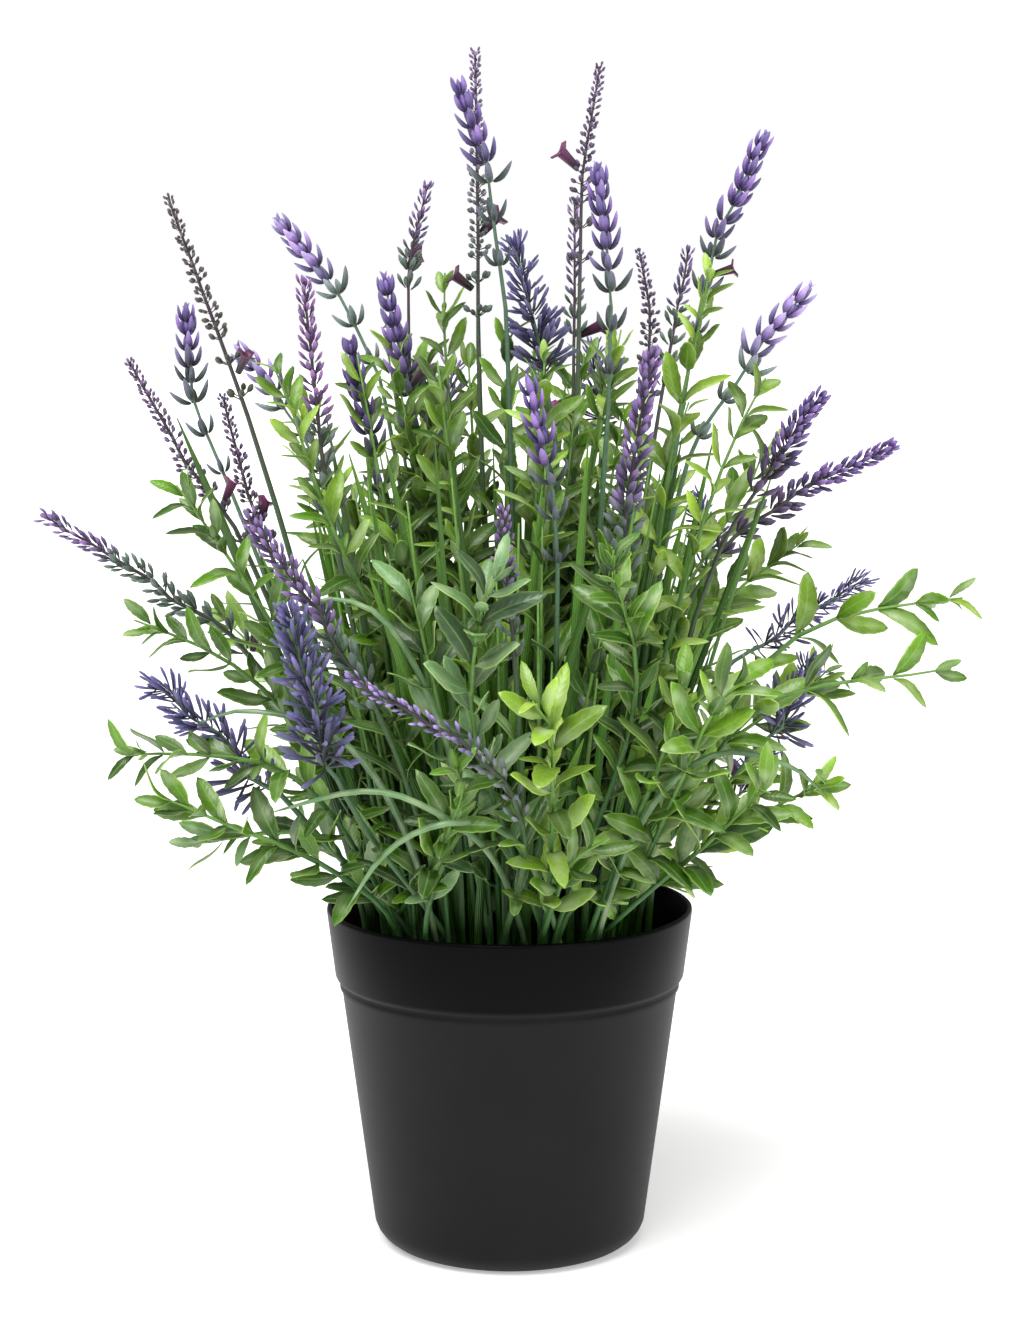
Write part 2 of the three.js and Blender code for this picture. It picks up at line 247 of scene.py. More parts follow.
@dataclass(frozen=True)
class DampPeat(Finish):
    """Peat compost: dark brown crumbs with paler fibres, and no gloss."""

    name: str = "damp_peat"
    dark: str = "#17110c"
    middle: str = "#33271c"
    fibre: str = "#5d4a35"
    crumb_mm: float = 2.4
    grit_mm: float = 0.9
    relief_mm: float = 0.5
    sockets = {"Roughness": 0.95}

    def weave(self, nodes: Nodes) -> dict:
        """Weaves the crumbs' colours and a gritty relief.

        Args:
            nodes: the material's nodes.

        Returns:
            What feeds each socket.
        """
        colours = {0.3: self.dark, 0.55: self.middle, 0.72: self.fibre}
        base = nodes.add("ValToRGB", {"stops": colours}, {0: nodes.mottle(self.crumb_mm, 5.0)})
        return {"Base Color": base, "Height": nodes.mottle(self.grit_mm, 6.0)}


@dataclass(frozen=True)
class BudPlastic(Finish):
    """Soft polyethylene buds dyed in the mould: satin, greener at the spike's foot, with painted shade and
    highlight on each.
    """

    name: str
    foot: str
    middle: str
    tip: str
    # colour of the painted highlight towards each bud's end
    pale: str
    relief_mm: float = 0.05
    sockets = {"Roughness": 0.42, "IOR": 1.5, "Specular IOR Level": 0.4, "Sheen Weight": 0.15}

    def weave(self, nodes: Nodes) -> dict:
        """Weaves a colour that changes along the spike, with painted shade and painted highlight along each
        bud.

        Args:
            nodes: the material's nodes.

        Returns:
            What feeds each socket.
        """
        spike, own, along, _ = nodes.dyes()
        colours = {0.04: self.foot, 0.4: self.middle, 0.95: self.tip}
        base = nodes.add("ValToRGB", {"stops": colours}, {0: spike})
        # painted highlight: paler towards each bud's end, more so up the spike
        tip_highlight = nodes.blend((along, 0.0, 0.6, 0.45, 1.0), (spike, 0.35, 1.0, 0.0, 0.5))
        grain = nodes.mottle(1.6)
        # a random own tone and grain, with painted shade that darkens each bud towards its base
        value = nodes.blend((own, 0.55, 1.22), (along, 0.14, 1.15, 0.0, 0.7), (grain, 0.85, 1.15, 0.3, 0.7))
        highlighted = nodes.lay(base, (tip_highlight, self.pale))
        links = {"Hue": nodes.blend((own, 0.485, 0.52)), "Value": value, "Color": highlighted}
        return {"Base Color": nodes.add("HueSaturation", links=links), "Height": nodes.mottle(0.5, 2.0)}


@dataclass(frozen=True)
class LeafPlastic(Finish):
    """Moulded polyethylene leaves: mid green with a pale edge, a rib and side veins, a soft sheen and painted
    highlight patches.
    """

    name: str = "moulded_leaf"
    glaucous: str = "#6a8f60"
    deep: str = "#336010"
    middle: str = "#51811a"
    bright: str = "#84a932"
    # colour of the painted highlight patches
    painted_sheen: str = "#c0d0a4"
    edge: str = "#b0cc62"
    rib: str = "#96b964"
    veins: float = 9.0
    vein_slant: float = -0.16
    relief_mm: float = 0.02
    sockets = {"Roughness": 0.34, "IOR": 1.5, "Specular IOR Level": 0.5}

    def weave(self, nodes: Nodes) -> dict:
        """Weaves a colour picked by the plant shade, with painted shade inside the bush, painted highlight
        patches, and the leaf's edge, rib and veins.

        Args:
            nodes: the material's nodes.

        Returns:
            What feeds each socket.
        """
        plant, own, along, across = nodes.dyes()
        colours = {0.0: self.glaucous, 0.3: self.deep, 0.65: self.middle, 1.0: self.bright}
        base = nodes.add("ValToRGB", {"stops": colours}, {0: plant})
        slant = nodes.add("Math", {"operation": "MULTIPLY_ADD", 1: self.vein_slant}, {0: across, 2: along})
        turns = nodes.add("Math", {"operation": "MULTIPLY", 1: self.veins * math.tau}, {0: slant})
        wave = nodes.add("Math", {"operation": "SINE"}, {0: turns})
        grain = (nodes.mottle(3.0), 0.86, 1.14, 0.3, 0.7)
        # own carries a random tone and, on leafy shoots and sprays, painted shade inside the bush
        value = nodes.blend((wave, 0.95, 1.04, -1.0, 1.0), (own, 0.36, 1.5), (along, 0.68, 1.14), grain)
        links = {"Hue": nodes.blend((own, 0.508, 0.49)), "Value": value, "Color": base}
        # painted highlight: pale patches of sheen, strongest near the midrib and on the leaves at the plant's
        # skin
        sheen_patches = (nodes.mottle(9.0, 1.0), 0.0, 0.8, 0.45, 0.7)
        sheened = nodes.blend(sheen_patches, (own, 0.2, 1.0), (across, 1.0, 0.35))
        edged = nodes.blend((across, 0.0, 0.6, 0.78, 1.0), (own, 0.3, 1.0))
        ribbed = nodes.blend((across, 0.45, 0.0, 0.0, 0.12))
        layers = ((sheened, self.painted_sheen), (edged, self.edge), (ribbed, self.rib))
        return {"Base Color": nodes.lay(nodes.add("HueSaturation", links=links), *layers), "Height": wave}


@dataclass(frozen=True)
class BladePlastic(Finish):
    """Moulded strap leaves: fresh green, darker at the foot, with fine lines along the blade."""

    name: str = "moulded_blade"
    foot: str = "#1d400c"
    middle: str = "#3a6e18"
    tip: str = "#5e8f2c"
    lines: float = 5.0
    relief_mm: float = 0.08
    sockets = {"Roughness": 0.4, "IOR": 1.5}

    def weave(self, nodes: Nodes) -> dict:
        """Weaves a colour shaded along the blade, with lines that are also its relief.

        Args:
            nodes: the material's nodes.

        Returns:
            What feeds each socket.
        """
        _, own, along, across = nodes.dyes()
        colours = {0.05: self.foot, 0.5: self.middle, 1.0: self.tip}
        base = nodes.add("ValToRGB", {"stops": colours}, {0: along})
        turns = nodes.add("Math", {"operation": "MULTIPLY", 1: self.lines * math.pi}, {0: across})
        wave = nodes.add("Math", {"operation": "COSINE"}, {0: turns})
        value = nodes.blend((own, 0.5, 1.5), (wave, 0.9, 1.08, -1.0, 1.0))
        links = {"Hue": nodes.blend((own, 0.505, 0.492)), "Value": value, "Color": base}
        return {"Base Color": nodes.add("HueSaturation", links=links), "Height": wave}


@dataclass(frozen=True)
class StemPlastic(Finish):
    """Wire stems in a moulded polyethylene sleeve: matt and uneven, and another shade at the spike."""

    name: str
    foot: str
    head: str
    relief_mm: float = 0.06
    sockets = {"Roughness": 0.55, "IOR": 1.5}

    def weave(self, nodes: Nodes) -> dict:
        """Weaves a colour shaded from the stem's foot to its head.

        Args:
            nodes: the material's nodes.

        Returns:
            What feeds each socket.
        """
        _, own, along, _ = nodes.dyes()
        base = nodes.add("ValToRGB", {"stops": {0.5: self.foot, 0.86: self.head}}, {0: along})
        value = nodes.blend((own, 0.85, 1.15), (nodes.mottle(2.2), 0.82, 1.16, 0.3, 0.7))
        shaded = nodes.add("HueSaturation", links={"Value": value, "Color": base})
        return {"Base Color": shaded, "Height": nodes.mottle(0.6, 2.0)}


class PalePaper(Finish):
    """Background paper: matt and nearly white, with a glow that keeps its shadows faint."""

    name = "pale_paper"
    sockets = {
        "Base Color": linear("#f7f7f6"),
        "Roughness": 0.9,
        "Emission Color": linear("#ffffff"),
        "Emission Strength": 0.4,
    }


# ---- Paths read from the frame ----


@dataclass
class Path:
    """A smooth line through points, measured by its length."""

    points: list[Vector]
    marks: list[float] = field(default_factory=list)

    def __post_init__(self) -> None:
        """Measures the line."""
        self.marks = [0.0]
        for a, b in zip(self.points, self.points[1:]):
            self.marks.append(self.marks[-1] + (b - a).length)

    @property
    def length(self) -> float:
        """The line's length."""
        return self.marks[-1]

    def smoothed(self, rounds: int = 2) -> "Path":
        """Cuts the corners off.

        Args:
            rounds: how many times.

        Returns:
            The smoother line, with the same ends.
        """
        points = self.points
        for _ in range(rounds):
            cut = [points[0]]
            for a, b in zip(points, points[1:]):
                cut += [a.lerp(b, 0.25), a.lerp(b, 0.75)]
            points = cut + [points[-1]]
        return Path(points)

    def at(self, distance: float) -> tuple[Vector, Vector]:
        """Finds a place on the line.

        Args:
            distance: how far from its start.

        Returns:
            The place and the direction there.
        """
        last = len(self.points) - 2
        step = 0
        while step < last and self.marks[step + 1] < distance:
            step += 1
        a, b = self.points[step], self.points[step + 1]
        span = max(self.marks[step + 1] - self.marks[step], 1e-9)
        ahead = self.points[min(step + 2, last + 1)] - self.points[max(step - 1, 0)]
        return a.lerp(b, (distance - self.marks[step]) / span), ahead.normalized()


def welded(node: str) -> tuple[list[Vector], list[set[int]]]:
    """Joins a CAD node's loose triangles.

    Args:
        node: the node's name.

    Returns:
        Its corners, and each corner's neighbours.
    """
    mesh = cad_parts[node].data
    places: dict[tuple[int, ...], int] = {}
    corners: list[Vector] = []
    index = []
    for vertex in mesh.vertices:
        key = tuple(round(c * 1e5) for c in vertex.co)
        if key not in places:
            places[key] = len(corners)
            corners.append(vertex.co.copy())
        index.append(places[key])
    near: list[set[int]] = [set() for _ in corners]
    for edge in mesh.edges:
        a, b = (index[i] for i in edge.vertices)
        if a != b:
            near[a].add(b)
            near[b].add(a)
    return corners, near


def spread(corners: list[Vector], near: list[set[int]], starts: list[int]) -> tuple[list[float], list[int]]:
    """Measures how far each corner is from the starts, along edges.

    Args:
        corners: the places.
        near: each corner's neighbours.
        starts: where to measure from.

    Returns:
        The distances, and the corner before each one on the way.
    """
    far = [math.inf] * len(corners)
    before = [-1] * len(corners)
    queue = [(0.0, s) for s in starts]
    for s in starts:
        far[s] = 0.0
    while queue:
        distance, here = heapq.heappop(queue)
        if distance > far[here]:
            continue
        for other in near[here]:
            reach = distance + (corners[other] - corners[here]).length
            if reach < far[other] - 1e-9:
                far[other] = reach
                before[other] = here
                heapq.heappush(queue, (reach, other))
    return far, before


def branches(node: str, count: int, gap: float = 8 * MM) -> list[Path]:
    """Follows a CAD node's branches from its lowest corner to their ends.

    Args:
        node: the node's name.
        count: how many branches it has.
        gap: least distance between two points that are kept.

    Returns:
        One line a branch, the longest first.
    """
    corners, near = welded(node)
    root = min(range(len(corners)), key=lambda i: corners[i].z)
    found: list[Path] = []
    starts = [root]
    _, home = spread(corners, near, [root])
    for _ in range(count):
        far, _ = spread(corners, near, starts)
        end = max(range(len(corners)), key=lambda i: far[i] if far[i] < math.inf else -1)
        way = [end]
        while way[-1] != root and home[way[-1]] >= 0:
            way.append(home[way[-1]])
        starts += way
        points = [corners[i] for i in reversed(way)]
        kept = [points[0]]
        for point in points[1:-1]:
            if (point - kept[-1]).length > gap and (point - points[-1]).length > gap:
                kept.append(point)
        found.append(Path(kept + [points[-1]]).smoothed())
    return found


def spine(node: str, cuts: int = 46) -> tuple[Path, float, float]:
    """Reads a flower stem off level cuts through its CAD node.

    Args:
        node: the node's name.
        cuts: how many cuts.

    Returns:
        The middle line, the distance along it where the head starts, and the head's radius.
    """
    corners, near = welded(node)
    pairs = [(corners[a], corners[b]) for a, others in enumerate(near) for b in others if a < b]
    low = min(c.z for c in corners)
    top = max(corners, key=lambda c: c.z)
    points: list[Vector] = []
    radii: list[float] = []
    for step in range(cuts):
        height = low + (top.z - low) * (step + 0.5) / cuts
        crossing = [(a, b) for a, b in pairs if (a.z - height) * (b.z - height) < 0]
        cut = [a.lerp(b, (height - a.z) / (b.z - a.z)) for a, b in crossing]
        if not cut:
            continue
        xs, ys = [p.x for p in cut], [p.y for p in cut]
        points.append(Vector(((max(xs) + min(xs)) / 2, (max(ys) + min(ys)) / 2, height)))
        radii.append(min(max(xs) - min(xs), max(ys) - min(ys)) / 2)
    line = Path([*points, top.copy()])
    stem = sorted(radii)[len(radii) // 4]
    first = next(i for i, r in enumerate(radii) if r > stem * 2.0)
    return line.smoothed(1), line.marks[first], max(radii)


def grown_line(points: Sequence[Vector], rounds: int = 2) -> Path:
    """Returns a smooth line through points."""
    return Path(list(points)).smoothed(rounds)


# ---- Small shapes that repeat ----


def between(places: Sequence[tuple[float, float]], at: float) -> float:
    """Reads a value off a broken line.

    Args:
        places: place and value of each corner, in order.
        at: where to read.

    Returns:
        The value there.
    """
    for (a, low), (b, high) in zip(places, places[1:]):
        if at <= b:
            return low + (high - low) * (at - a) / (b - a)
    return places[-1][1]


def tapered(half: float, shares: Sequence[tuple[float, float]] = STRAP) -> list[tuple[float, float]]:
    """Returns half widths by place, from shares of the greatest one."""
    return [(place, share * half) for place, share in shares]


def template(bm: bmesh.types.BMesh, name: str) -> Mesh:
    """Turns a shape into a mesh that pieces copy, and frees the shape.

    Args:
        bm: the shape.
        name: the mesh's name.

    Returns:
        The mesh.
    """
    bmesh.ops.recalc_face_normals(bm, faces=bm.faces)
    mesh = bpy.data.meshes.new(name)
    bm.to_mesh(mesh)
    bm.free()
    return mesh


@dataclass(frozen=True)
class BudShape:
    """One closed bud that stands on the origin and points up.

    The outline is a list of (share of the length, share of the half width).
    """

    name: str
    length: float
    width: float
    outline: tuple[tuple[float, float], ...]
    sides: int = 6
    rings: int = 6
    flat: float = 0.8
    bend: float = 0.1

    def mesh(self) -> Mesh:
        """Returns the bud, pulled from a ball to its outline."""
        bm = bmesh.new()
        dye = bm.verts.layers.float_color.new(DYE)
        bmesh.ops.create_uvsphere(bm, u_segments=self.sides, v_segments=self.rings, radius=1)
        for vertex in bm.verts:
            height = (vertex.co.z + 1) / 2
            round_ = math.sqrt(max(1 - vertex.co.z**2, 0.0))
            reach = between(self.outline, height) * self.width / 2
            share = reach / round_ if round_ > 1e-4 else 0.0
            side = abs(vertex.co.x)
            back = vertex.co.y * share * self.flat - self.bend * self.length * height**2
            vertex.co = Vector((vertex.co.x * share, back, height * self.length))
            vertex[dye] = (0, 0, height, side)
        return template(bm, self.name)


@dataclass(frozen=True)
class LeafShape:
    """One toothed leaf that stands on the origin, points up, and turns its face to +Y."""

    name: str
    length: float
    width: float
    steps: int = 10
    fold: float = 0.2
    curl: float = 0.2
    teeth: float = 0.05
    wave: float = 0.05
    thickness: float = 0.35 * MM

    OUTLINE = (
        (0.0, 0.1), (0.1, 0.34), (0.2, 0.68), (0.35, 0.94), (0.5, 1.0),
        (0.65, 0.94), (0.8, 0.76), (0.92, 0.44), (1.0, 0.0),
    )  # fmt: skip

    def mesh(self) -> Mesh:
        """Returns the leaf, shaped from a grid and given its thickness."""
        bm = bmesh.new()
        dye = bm.verts.layers.float_color.new(DYE)
        bmesh.ops.create_grid(bm, x_segments=2, y_segments=self.steps, size=1)
        for vertex in bm.verts:
            side = round(vertex.co.x)
            along = (vertex.co.y + 1) / 2
            row = round(along * self.steps)
            notch = self.teeth * (1 if row % 2 else -1) if along > 0.4 else 0.0
            reach = between(self.OUTLINE, along) * self.width / 2 * (1 + notch)
            sag = self.curl * self.length * along**2
            drop = sag - self.wave * self.length * math.sin(along * math.pi * 1.5)
            vertex.co = Vector((side * reach, abs(side) * reach * self.fold - drop, along * self.length))
            vertex[dye] = (0, 0, along, abs(side))
        bmesh.ops.remove_doubles(bm, verts=bm.verts, dist=SAME)
        bmesh.ops.solidify(bm, geom=bm.faces[:], thickness=self.thickness)
        return template(bm, self.name)


@dataclass(frozen=True)
class TrumpetShape:
    """One open floret: a narrow tube that flares into five lobes."""

    name: str = "trumpet"
    length: float = 6.2 * MM
    throat: float = 0.7 * MM
    mouth: float = 1.3 * MM
    reach: float = 3.0 * MM
    thickness: float = 0.25 * MM
    lobes: int = 5

    def mesh(self) -> Mesh:
        """Returns the floret, extruded from a cone and given its thickness."""
        bm = bmesh.new()
        dye = bm.verts.layers.float_color.new(DYE)
        sides = self.lobes * 2
        bmesh.ops.create_cone(bm, segments=sides, radius1=self.throat, radius2=self.mouth, depth=self.length)
        bmesh.ops.translate(bm, vec=(0, 0, self.length / 2), verts=bm.verts)
        brim = [e for e in bm.edges if all(v.co.z > self.length * 0.9 for v in e.verts)]
        grown = bmesh.ops.extrude_edge_only(bm, edges=brim)["geom"]
        outer = [g for g in grown if isinstance(g, bmesh.types.BMVert)]
        for vertex in outer:
            step = round(math.atan2(vertex.co.y, vertex.co.x) / math.tau * sides)
            out = self.reach if step % 2 == 0 else self.reach * 0.55
            flat = Vector((vertex.co.x, vertex.co.y, 0)).normalized()
            vertex.co = flat * out + UP * (self.length * (1.12 if step % 2 == 0 else 1.0))
        for vertex in bm.verts:
            vertex[dye] = (0, 0, vertex.co.z / self.length, 0)
        bmesh.ops.recalc_face_normals(bm, faces=bm.faces)
        bmesh.ops.solidify(bm, geom=bm.faces[:], thickness=self.thickness)
        return template(bm, self.name)


@dataclass
class Piece:
    """One finished piece in the making: copies of small shapes and swept stems in one mesh."""

    name: str
    materials: list[Material]

    def __post_init__(self) -> None:
        """Opens the mesh and its dye attribute."""
        self.bm = bmesh.new()
        self.dye = self.bm.verts.layers.float_color.new(DYE)

    def copy(self, shape: Mesh, place: Matrix, material: int, plant: float, own: float) -> None:
        """Puts one copy of a shape in.

        Args:
            shape: the shape's mesh.
            place: where it goes, how it is turned and its size.
            material: number of its material on this piece.
            plant: its plant or spike shade.
            own: its own shade.
        """
        corners, faces = len(self.bm.verts), len(self.bm.faces)
        self.bm.from_mesh(shape)
        self.bm.verts.ensure_lookup_table()
        self.bm.faces.ensure_lookup_table()
        fresh = self.bm.verts[corners:]
        bmesh.ops.transform(self.bm, matrix=place, verts=fresh)
        for vertex in fresh:
            _, _, along, across = vertex[self.dye]
            vertex[self.dye] = (plant, own, along, across)
        for face in self.bm.faces[faces:]:
            face.material_index = material

    def sweep(
        self,
        path: Path,
        widths: Sequence[tuple[float, float]],
        material: int,
        own: float,
        sides: int = 6,
        steps: int = 20,
        flat: float = 1.0,
        end: float | None = None,
        face: Vector = UP,
    ) -> None:
        """Extrudes a ring along a line and closes its ends.

        Args:
            path: the line.
            widths: half width by share of the length.
            material: number of its material on this piece.
            own: its own shade.
            sides: corners of the ring.
            steps: number of extrusions.
            flat: thickness as a share of the width.
            end: distance where it ends, or None for the line's end.
            face: what its flat side turns to as nearly as it can.
        """
        finish = path.length if end is None else end
        marks = [finish * i / steps for i in range(steps + 1)]

        def station(distance: float) -> Matrix:
            """Works out the section at a distance.

            Args:
                distance: how far along the line.

            Returns:
                What turns a ring of radius 1 into it.
            """
            place, along = path.at(distance)
            half = max(between(widths, distance / finish), 0.06 * MM)
            return aimed(place, along, face) @ Matrix.Diagonal((half, half * flat, half, 1))

        faces = len(self.bm.faces)
        ring = bmesh.ops.create_circle(self.bm, cap_ends=True, segments=sides, radius=1)["verts"]
        rims = [abs(v.co.x) for v in ring]
        before = station(marks[0])
        bmesh.ops.transform(self.bm, matrix=before, verts=ring)
        for vertex, across in zip(ring, rims):
            vertex[self.dye] = (0, own, 0, across)
        held = set(ring)
        edges = [e for e in self.bm.edges if set(e.verts) <= held]
        for step, mark in enumerate(marks[1:], 1):
            here = station(mark)
            grown = bmesh.ops.extrude_edge_only(self.bm, edges=edges)["geom"]
            corners = [g for g in grown if isinstance(g, bmesh.types.BMVert)]
            held = set(corners)
            edges = [g for g in grown if isinstance(g, bmesh.types.BMEdge) and set(g.verts) <= held]
            bmesh.ops.transform(self.bm, matrix=here @ before.inverted(), verts=corners)
            for vertex in corners:
                across = vertex[self.dye][3]
                vertex[self.dye] = (0, own, step / steps, across)
            before = here
        bmesh.ops.contextual_create(self.bm, geom=edges)
        self.bm.faces.ensure_lookup_table()
        fresh = self.bm.faces[faces:]
        bmesh.ops.recalc_face_normals(self.bm, faces=fresh)
        for face in fresh:
            face.material_index = material

    def finish(self, slot: str, *nodes: str) -> Object:
        """Closes the piece and hands it to the frame.

        Args:
            slot: a material slot's name; not used.
            nodes: the CAD nodes it stands for.

        Returns:
            The finished object.
        """
        mesh = bpy.data.meshes.new(self.name)
        for face in self.bm.faces:
            face.smooth = True
        self.bm.to_mesh(mesh)
        self.bm.free()
        for material in self.materials:
            mesh.materials.append(material)
        made = bpy.data.objects.new(self.name, mesh)
        bpy.context.scene.collection.objects.link(made)
        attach(made, BODY)
        if nodes:
            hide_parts(*nodes)
        logger.info("%s: %d faces", self.name, len(mesh.polygons))
        return made


def aimed(place: Vector, along: Vector, face: Vector, size: float = 1.0) -> Matrix:
    """Stands a shape somewhere.

    Args:
        place: where its origin goes.
        along: where its +Z points.
        face: what its +Y turns to as nearly as it can.
        size: its scale.

    Returns:
        The placing matrix.
    """
    axis = along.normalized()
    across = face.cross(axis)
    if across.length < 1e-4:
        across = Vector((1, 0, 0)).cross(axis)
    across.normalize()
    turned = Matrix((across, axis.cross(across), axis)).transposed().to_4x4()
    return Matrix.Translation(place) @ turned @ Matrix.Diagonal((size, size, size, 1))


def leaning(axis: Vector, turn: float, lean: float) -> tuple[Vector, Vector]:
    """Finds a direction that leans away from an axis.

    Args:
        axis: the axis.
        turn: which way round the axis, in radians.
        lean: how far from the axis, in radians.

    Returns:
        The direction, and the outward direction square to the axis.
    """
    side = axis.cross(BACK)
    if side.length < 1e-3:
        side = axis.cross(Vector((1, 0, 0)))
    side.normalize()
    out = Matrix.Rotation(turn, 3, axis) @ side
    return axis * math.cos(lean) + out * math.sin(lean), out


def sunlit(place: Vector) -> float:
    """Tells how far out a leaf stands: 1 at the plant's skin, less inside it, where it scales leaves down as
    painted shade.

    Args:
        place: where the leaf is joined.

    Returns:
        The share.
    """
    out = Vector((place.x, place.y * 1.2, (place.z - 150 * MM) * 0.6)).length
    return between([(0, 0.1), (30 * MM, 0.25), (75 * MM, 1.0), (1, 1.0)], out)


# ---- The plant ----


class Habit(Enum):
    """How a flower stem carries its buds."""

    WHORLED = "whorled"
    BEADED = "beaded"
    FEATHERED = "feathered"
    BRISTLED = "bristled"


class Dye(Enum):
    """The bud colours: foot, middle and tip of the spike, and the painted highlight towards each bud's end.
    """

    VIOLET = ("#3f5048", "#523c7c", "#634b94", "#a38fcc")
    LIGHT_VIOLET = ("#667a6e", "#725e9e", "#846eb0", "#bfb0de")
    DARK_VIOLET = ("#38463f", "#44316a", "#523b7e", "#8a74b4")
    PLUM = ("#3a4038", "#3f2f49", "#57416c", "#7d6390")
    MOSS = ("#37452f", "#3a3138", "#453848", "#6c6658")
    SAGE_PLUM = ("#3f5c3a", "#45583f", "#62487a", "#8d76a4")
    ORCHID = ("#4f6a50", "#5b4478", "#6a5089", "#9a80b4")
    PURPLE = ("#43344e", "#4b3768", "#5f4489", "#8c74b6")
    MAGENTA = ("#4f6650", "#64407c", "#75498c", "#a37fb4")
    LILAC = ("#5f6c62", "#66588e", "#8069ac", "#b6a2da")
    SLATE = ("#3b4448", "#3f3b69", "#4a467c", "#7a76aa")
    PALE_SLATE = ("#6a7478", "#6c668e", "#7d749e", "#aaa4c8")


class BudKind(Enum):
    """The moulded buds."""

    BOAT = BudShape(
        "boat_bud", 7.4 * MM, 2.8 * MM,
        ((0, 0.25), (0.2, 0.72), (0.5, 1.0), (0.75, 0.88), (0.92, 0.55), (1, 0.0)),
        rings=8, flat=0.85, bend=-0.62,
    )  # fmt: skip
    BEAD = BudShape(
        "bead_bud", 4.4 * MM, 1.8 * MM,
        ((0, 0.2), (0.45, 0.2), (0.6, 0.85), (0.76, 1.0), (0.92, 0.6), (1, 0.0)),
        rings=7, flat=1.0, bend=-0.12,
    )  # fmt: skip
    LANCE = BudShape(
        "lance_bud", 5.4 * MM, 2.1 * MM, ((0, 0.22), (0.3, 0.4), (0.62, 1.0), (0.86, 0.72), (1, 0.0)),
        flat=0.75, bend=-0.22,
    )  # fmt: skip
    TUBE = BudShape(
        "tube_bud", 9.0 * MM, 1.3 * MM, ((0, 0.35), (0.3, 0.5), (0.6, 0.75), (0.85, 1.0), (1, 0.4)),
        flat=1.0, bend=-0.12,
    )  # fmt: skip


@dataclass
class Workshop:
    """Every finish and small shape, made once and shared by the pieces."""

    buds: dict[Dye, Material] = field(default_factory=dict)

    def __post_init__(self) -> None:
        """Makes the shapes and the finishes."""
        self.shapes = {kind: kind.value.mesh() for kind in BudKind}
        self.trumpet = TrumpetShape().mesh()
        self.leaves = [
            LeafShape("broad_leaf", 21 * MM, 7.3 * MM).mesh(),
            LeafShape("flat_leaf", 19.5 * MM, 6.9 * MM, fold=0.12, curl=0.06, wave=-0.06).mesh(),
            LeafShape("hooked_leaf", 21 * MM, 6.2 * MM, fold=0.3, curl=0.26, wave=0.07).mesh(),
        ]
        self.slim_leaf = LeafShape("slim_leaf", 24 * MM, 4.2 * MM, fold=0.2, curl=0.12, teeth=0.0).mesh()
        self.leaf_plastic = LeafPlastic().material()
        self.blade_plastic = BladePlastic().material()
        self.green_stem = StemPlastic("green_stem", "#35602a", "#6a9440").material()
        self.grey_stem = StemPlastic("grey_green_stem", "#3a6034", "#54705c").material()
        self.plum_stem = StemPlastic("plum_stem", "#48683a", "#40303f").material()
        # the floret's last colour is the painted highlight towards each floret's end
        self.floret = BudPlastic("plum_floret", "#3c142f", "#4c1a3e", "#5c2450", "#7a3468").material()

    def bud(self, dye: Dye) -> Material:
        """Finds a bud colour's material, and makes it the first time.

        Args:
            dye: the colour.

        Returns:
            The material.
        """
        if dye not in self.buds:
            self.buds[dye] = BudPlastic(f"bud_{dye.name.lower()}", *dye.value).material()
        return self.buds[dye]


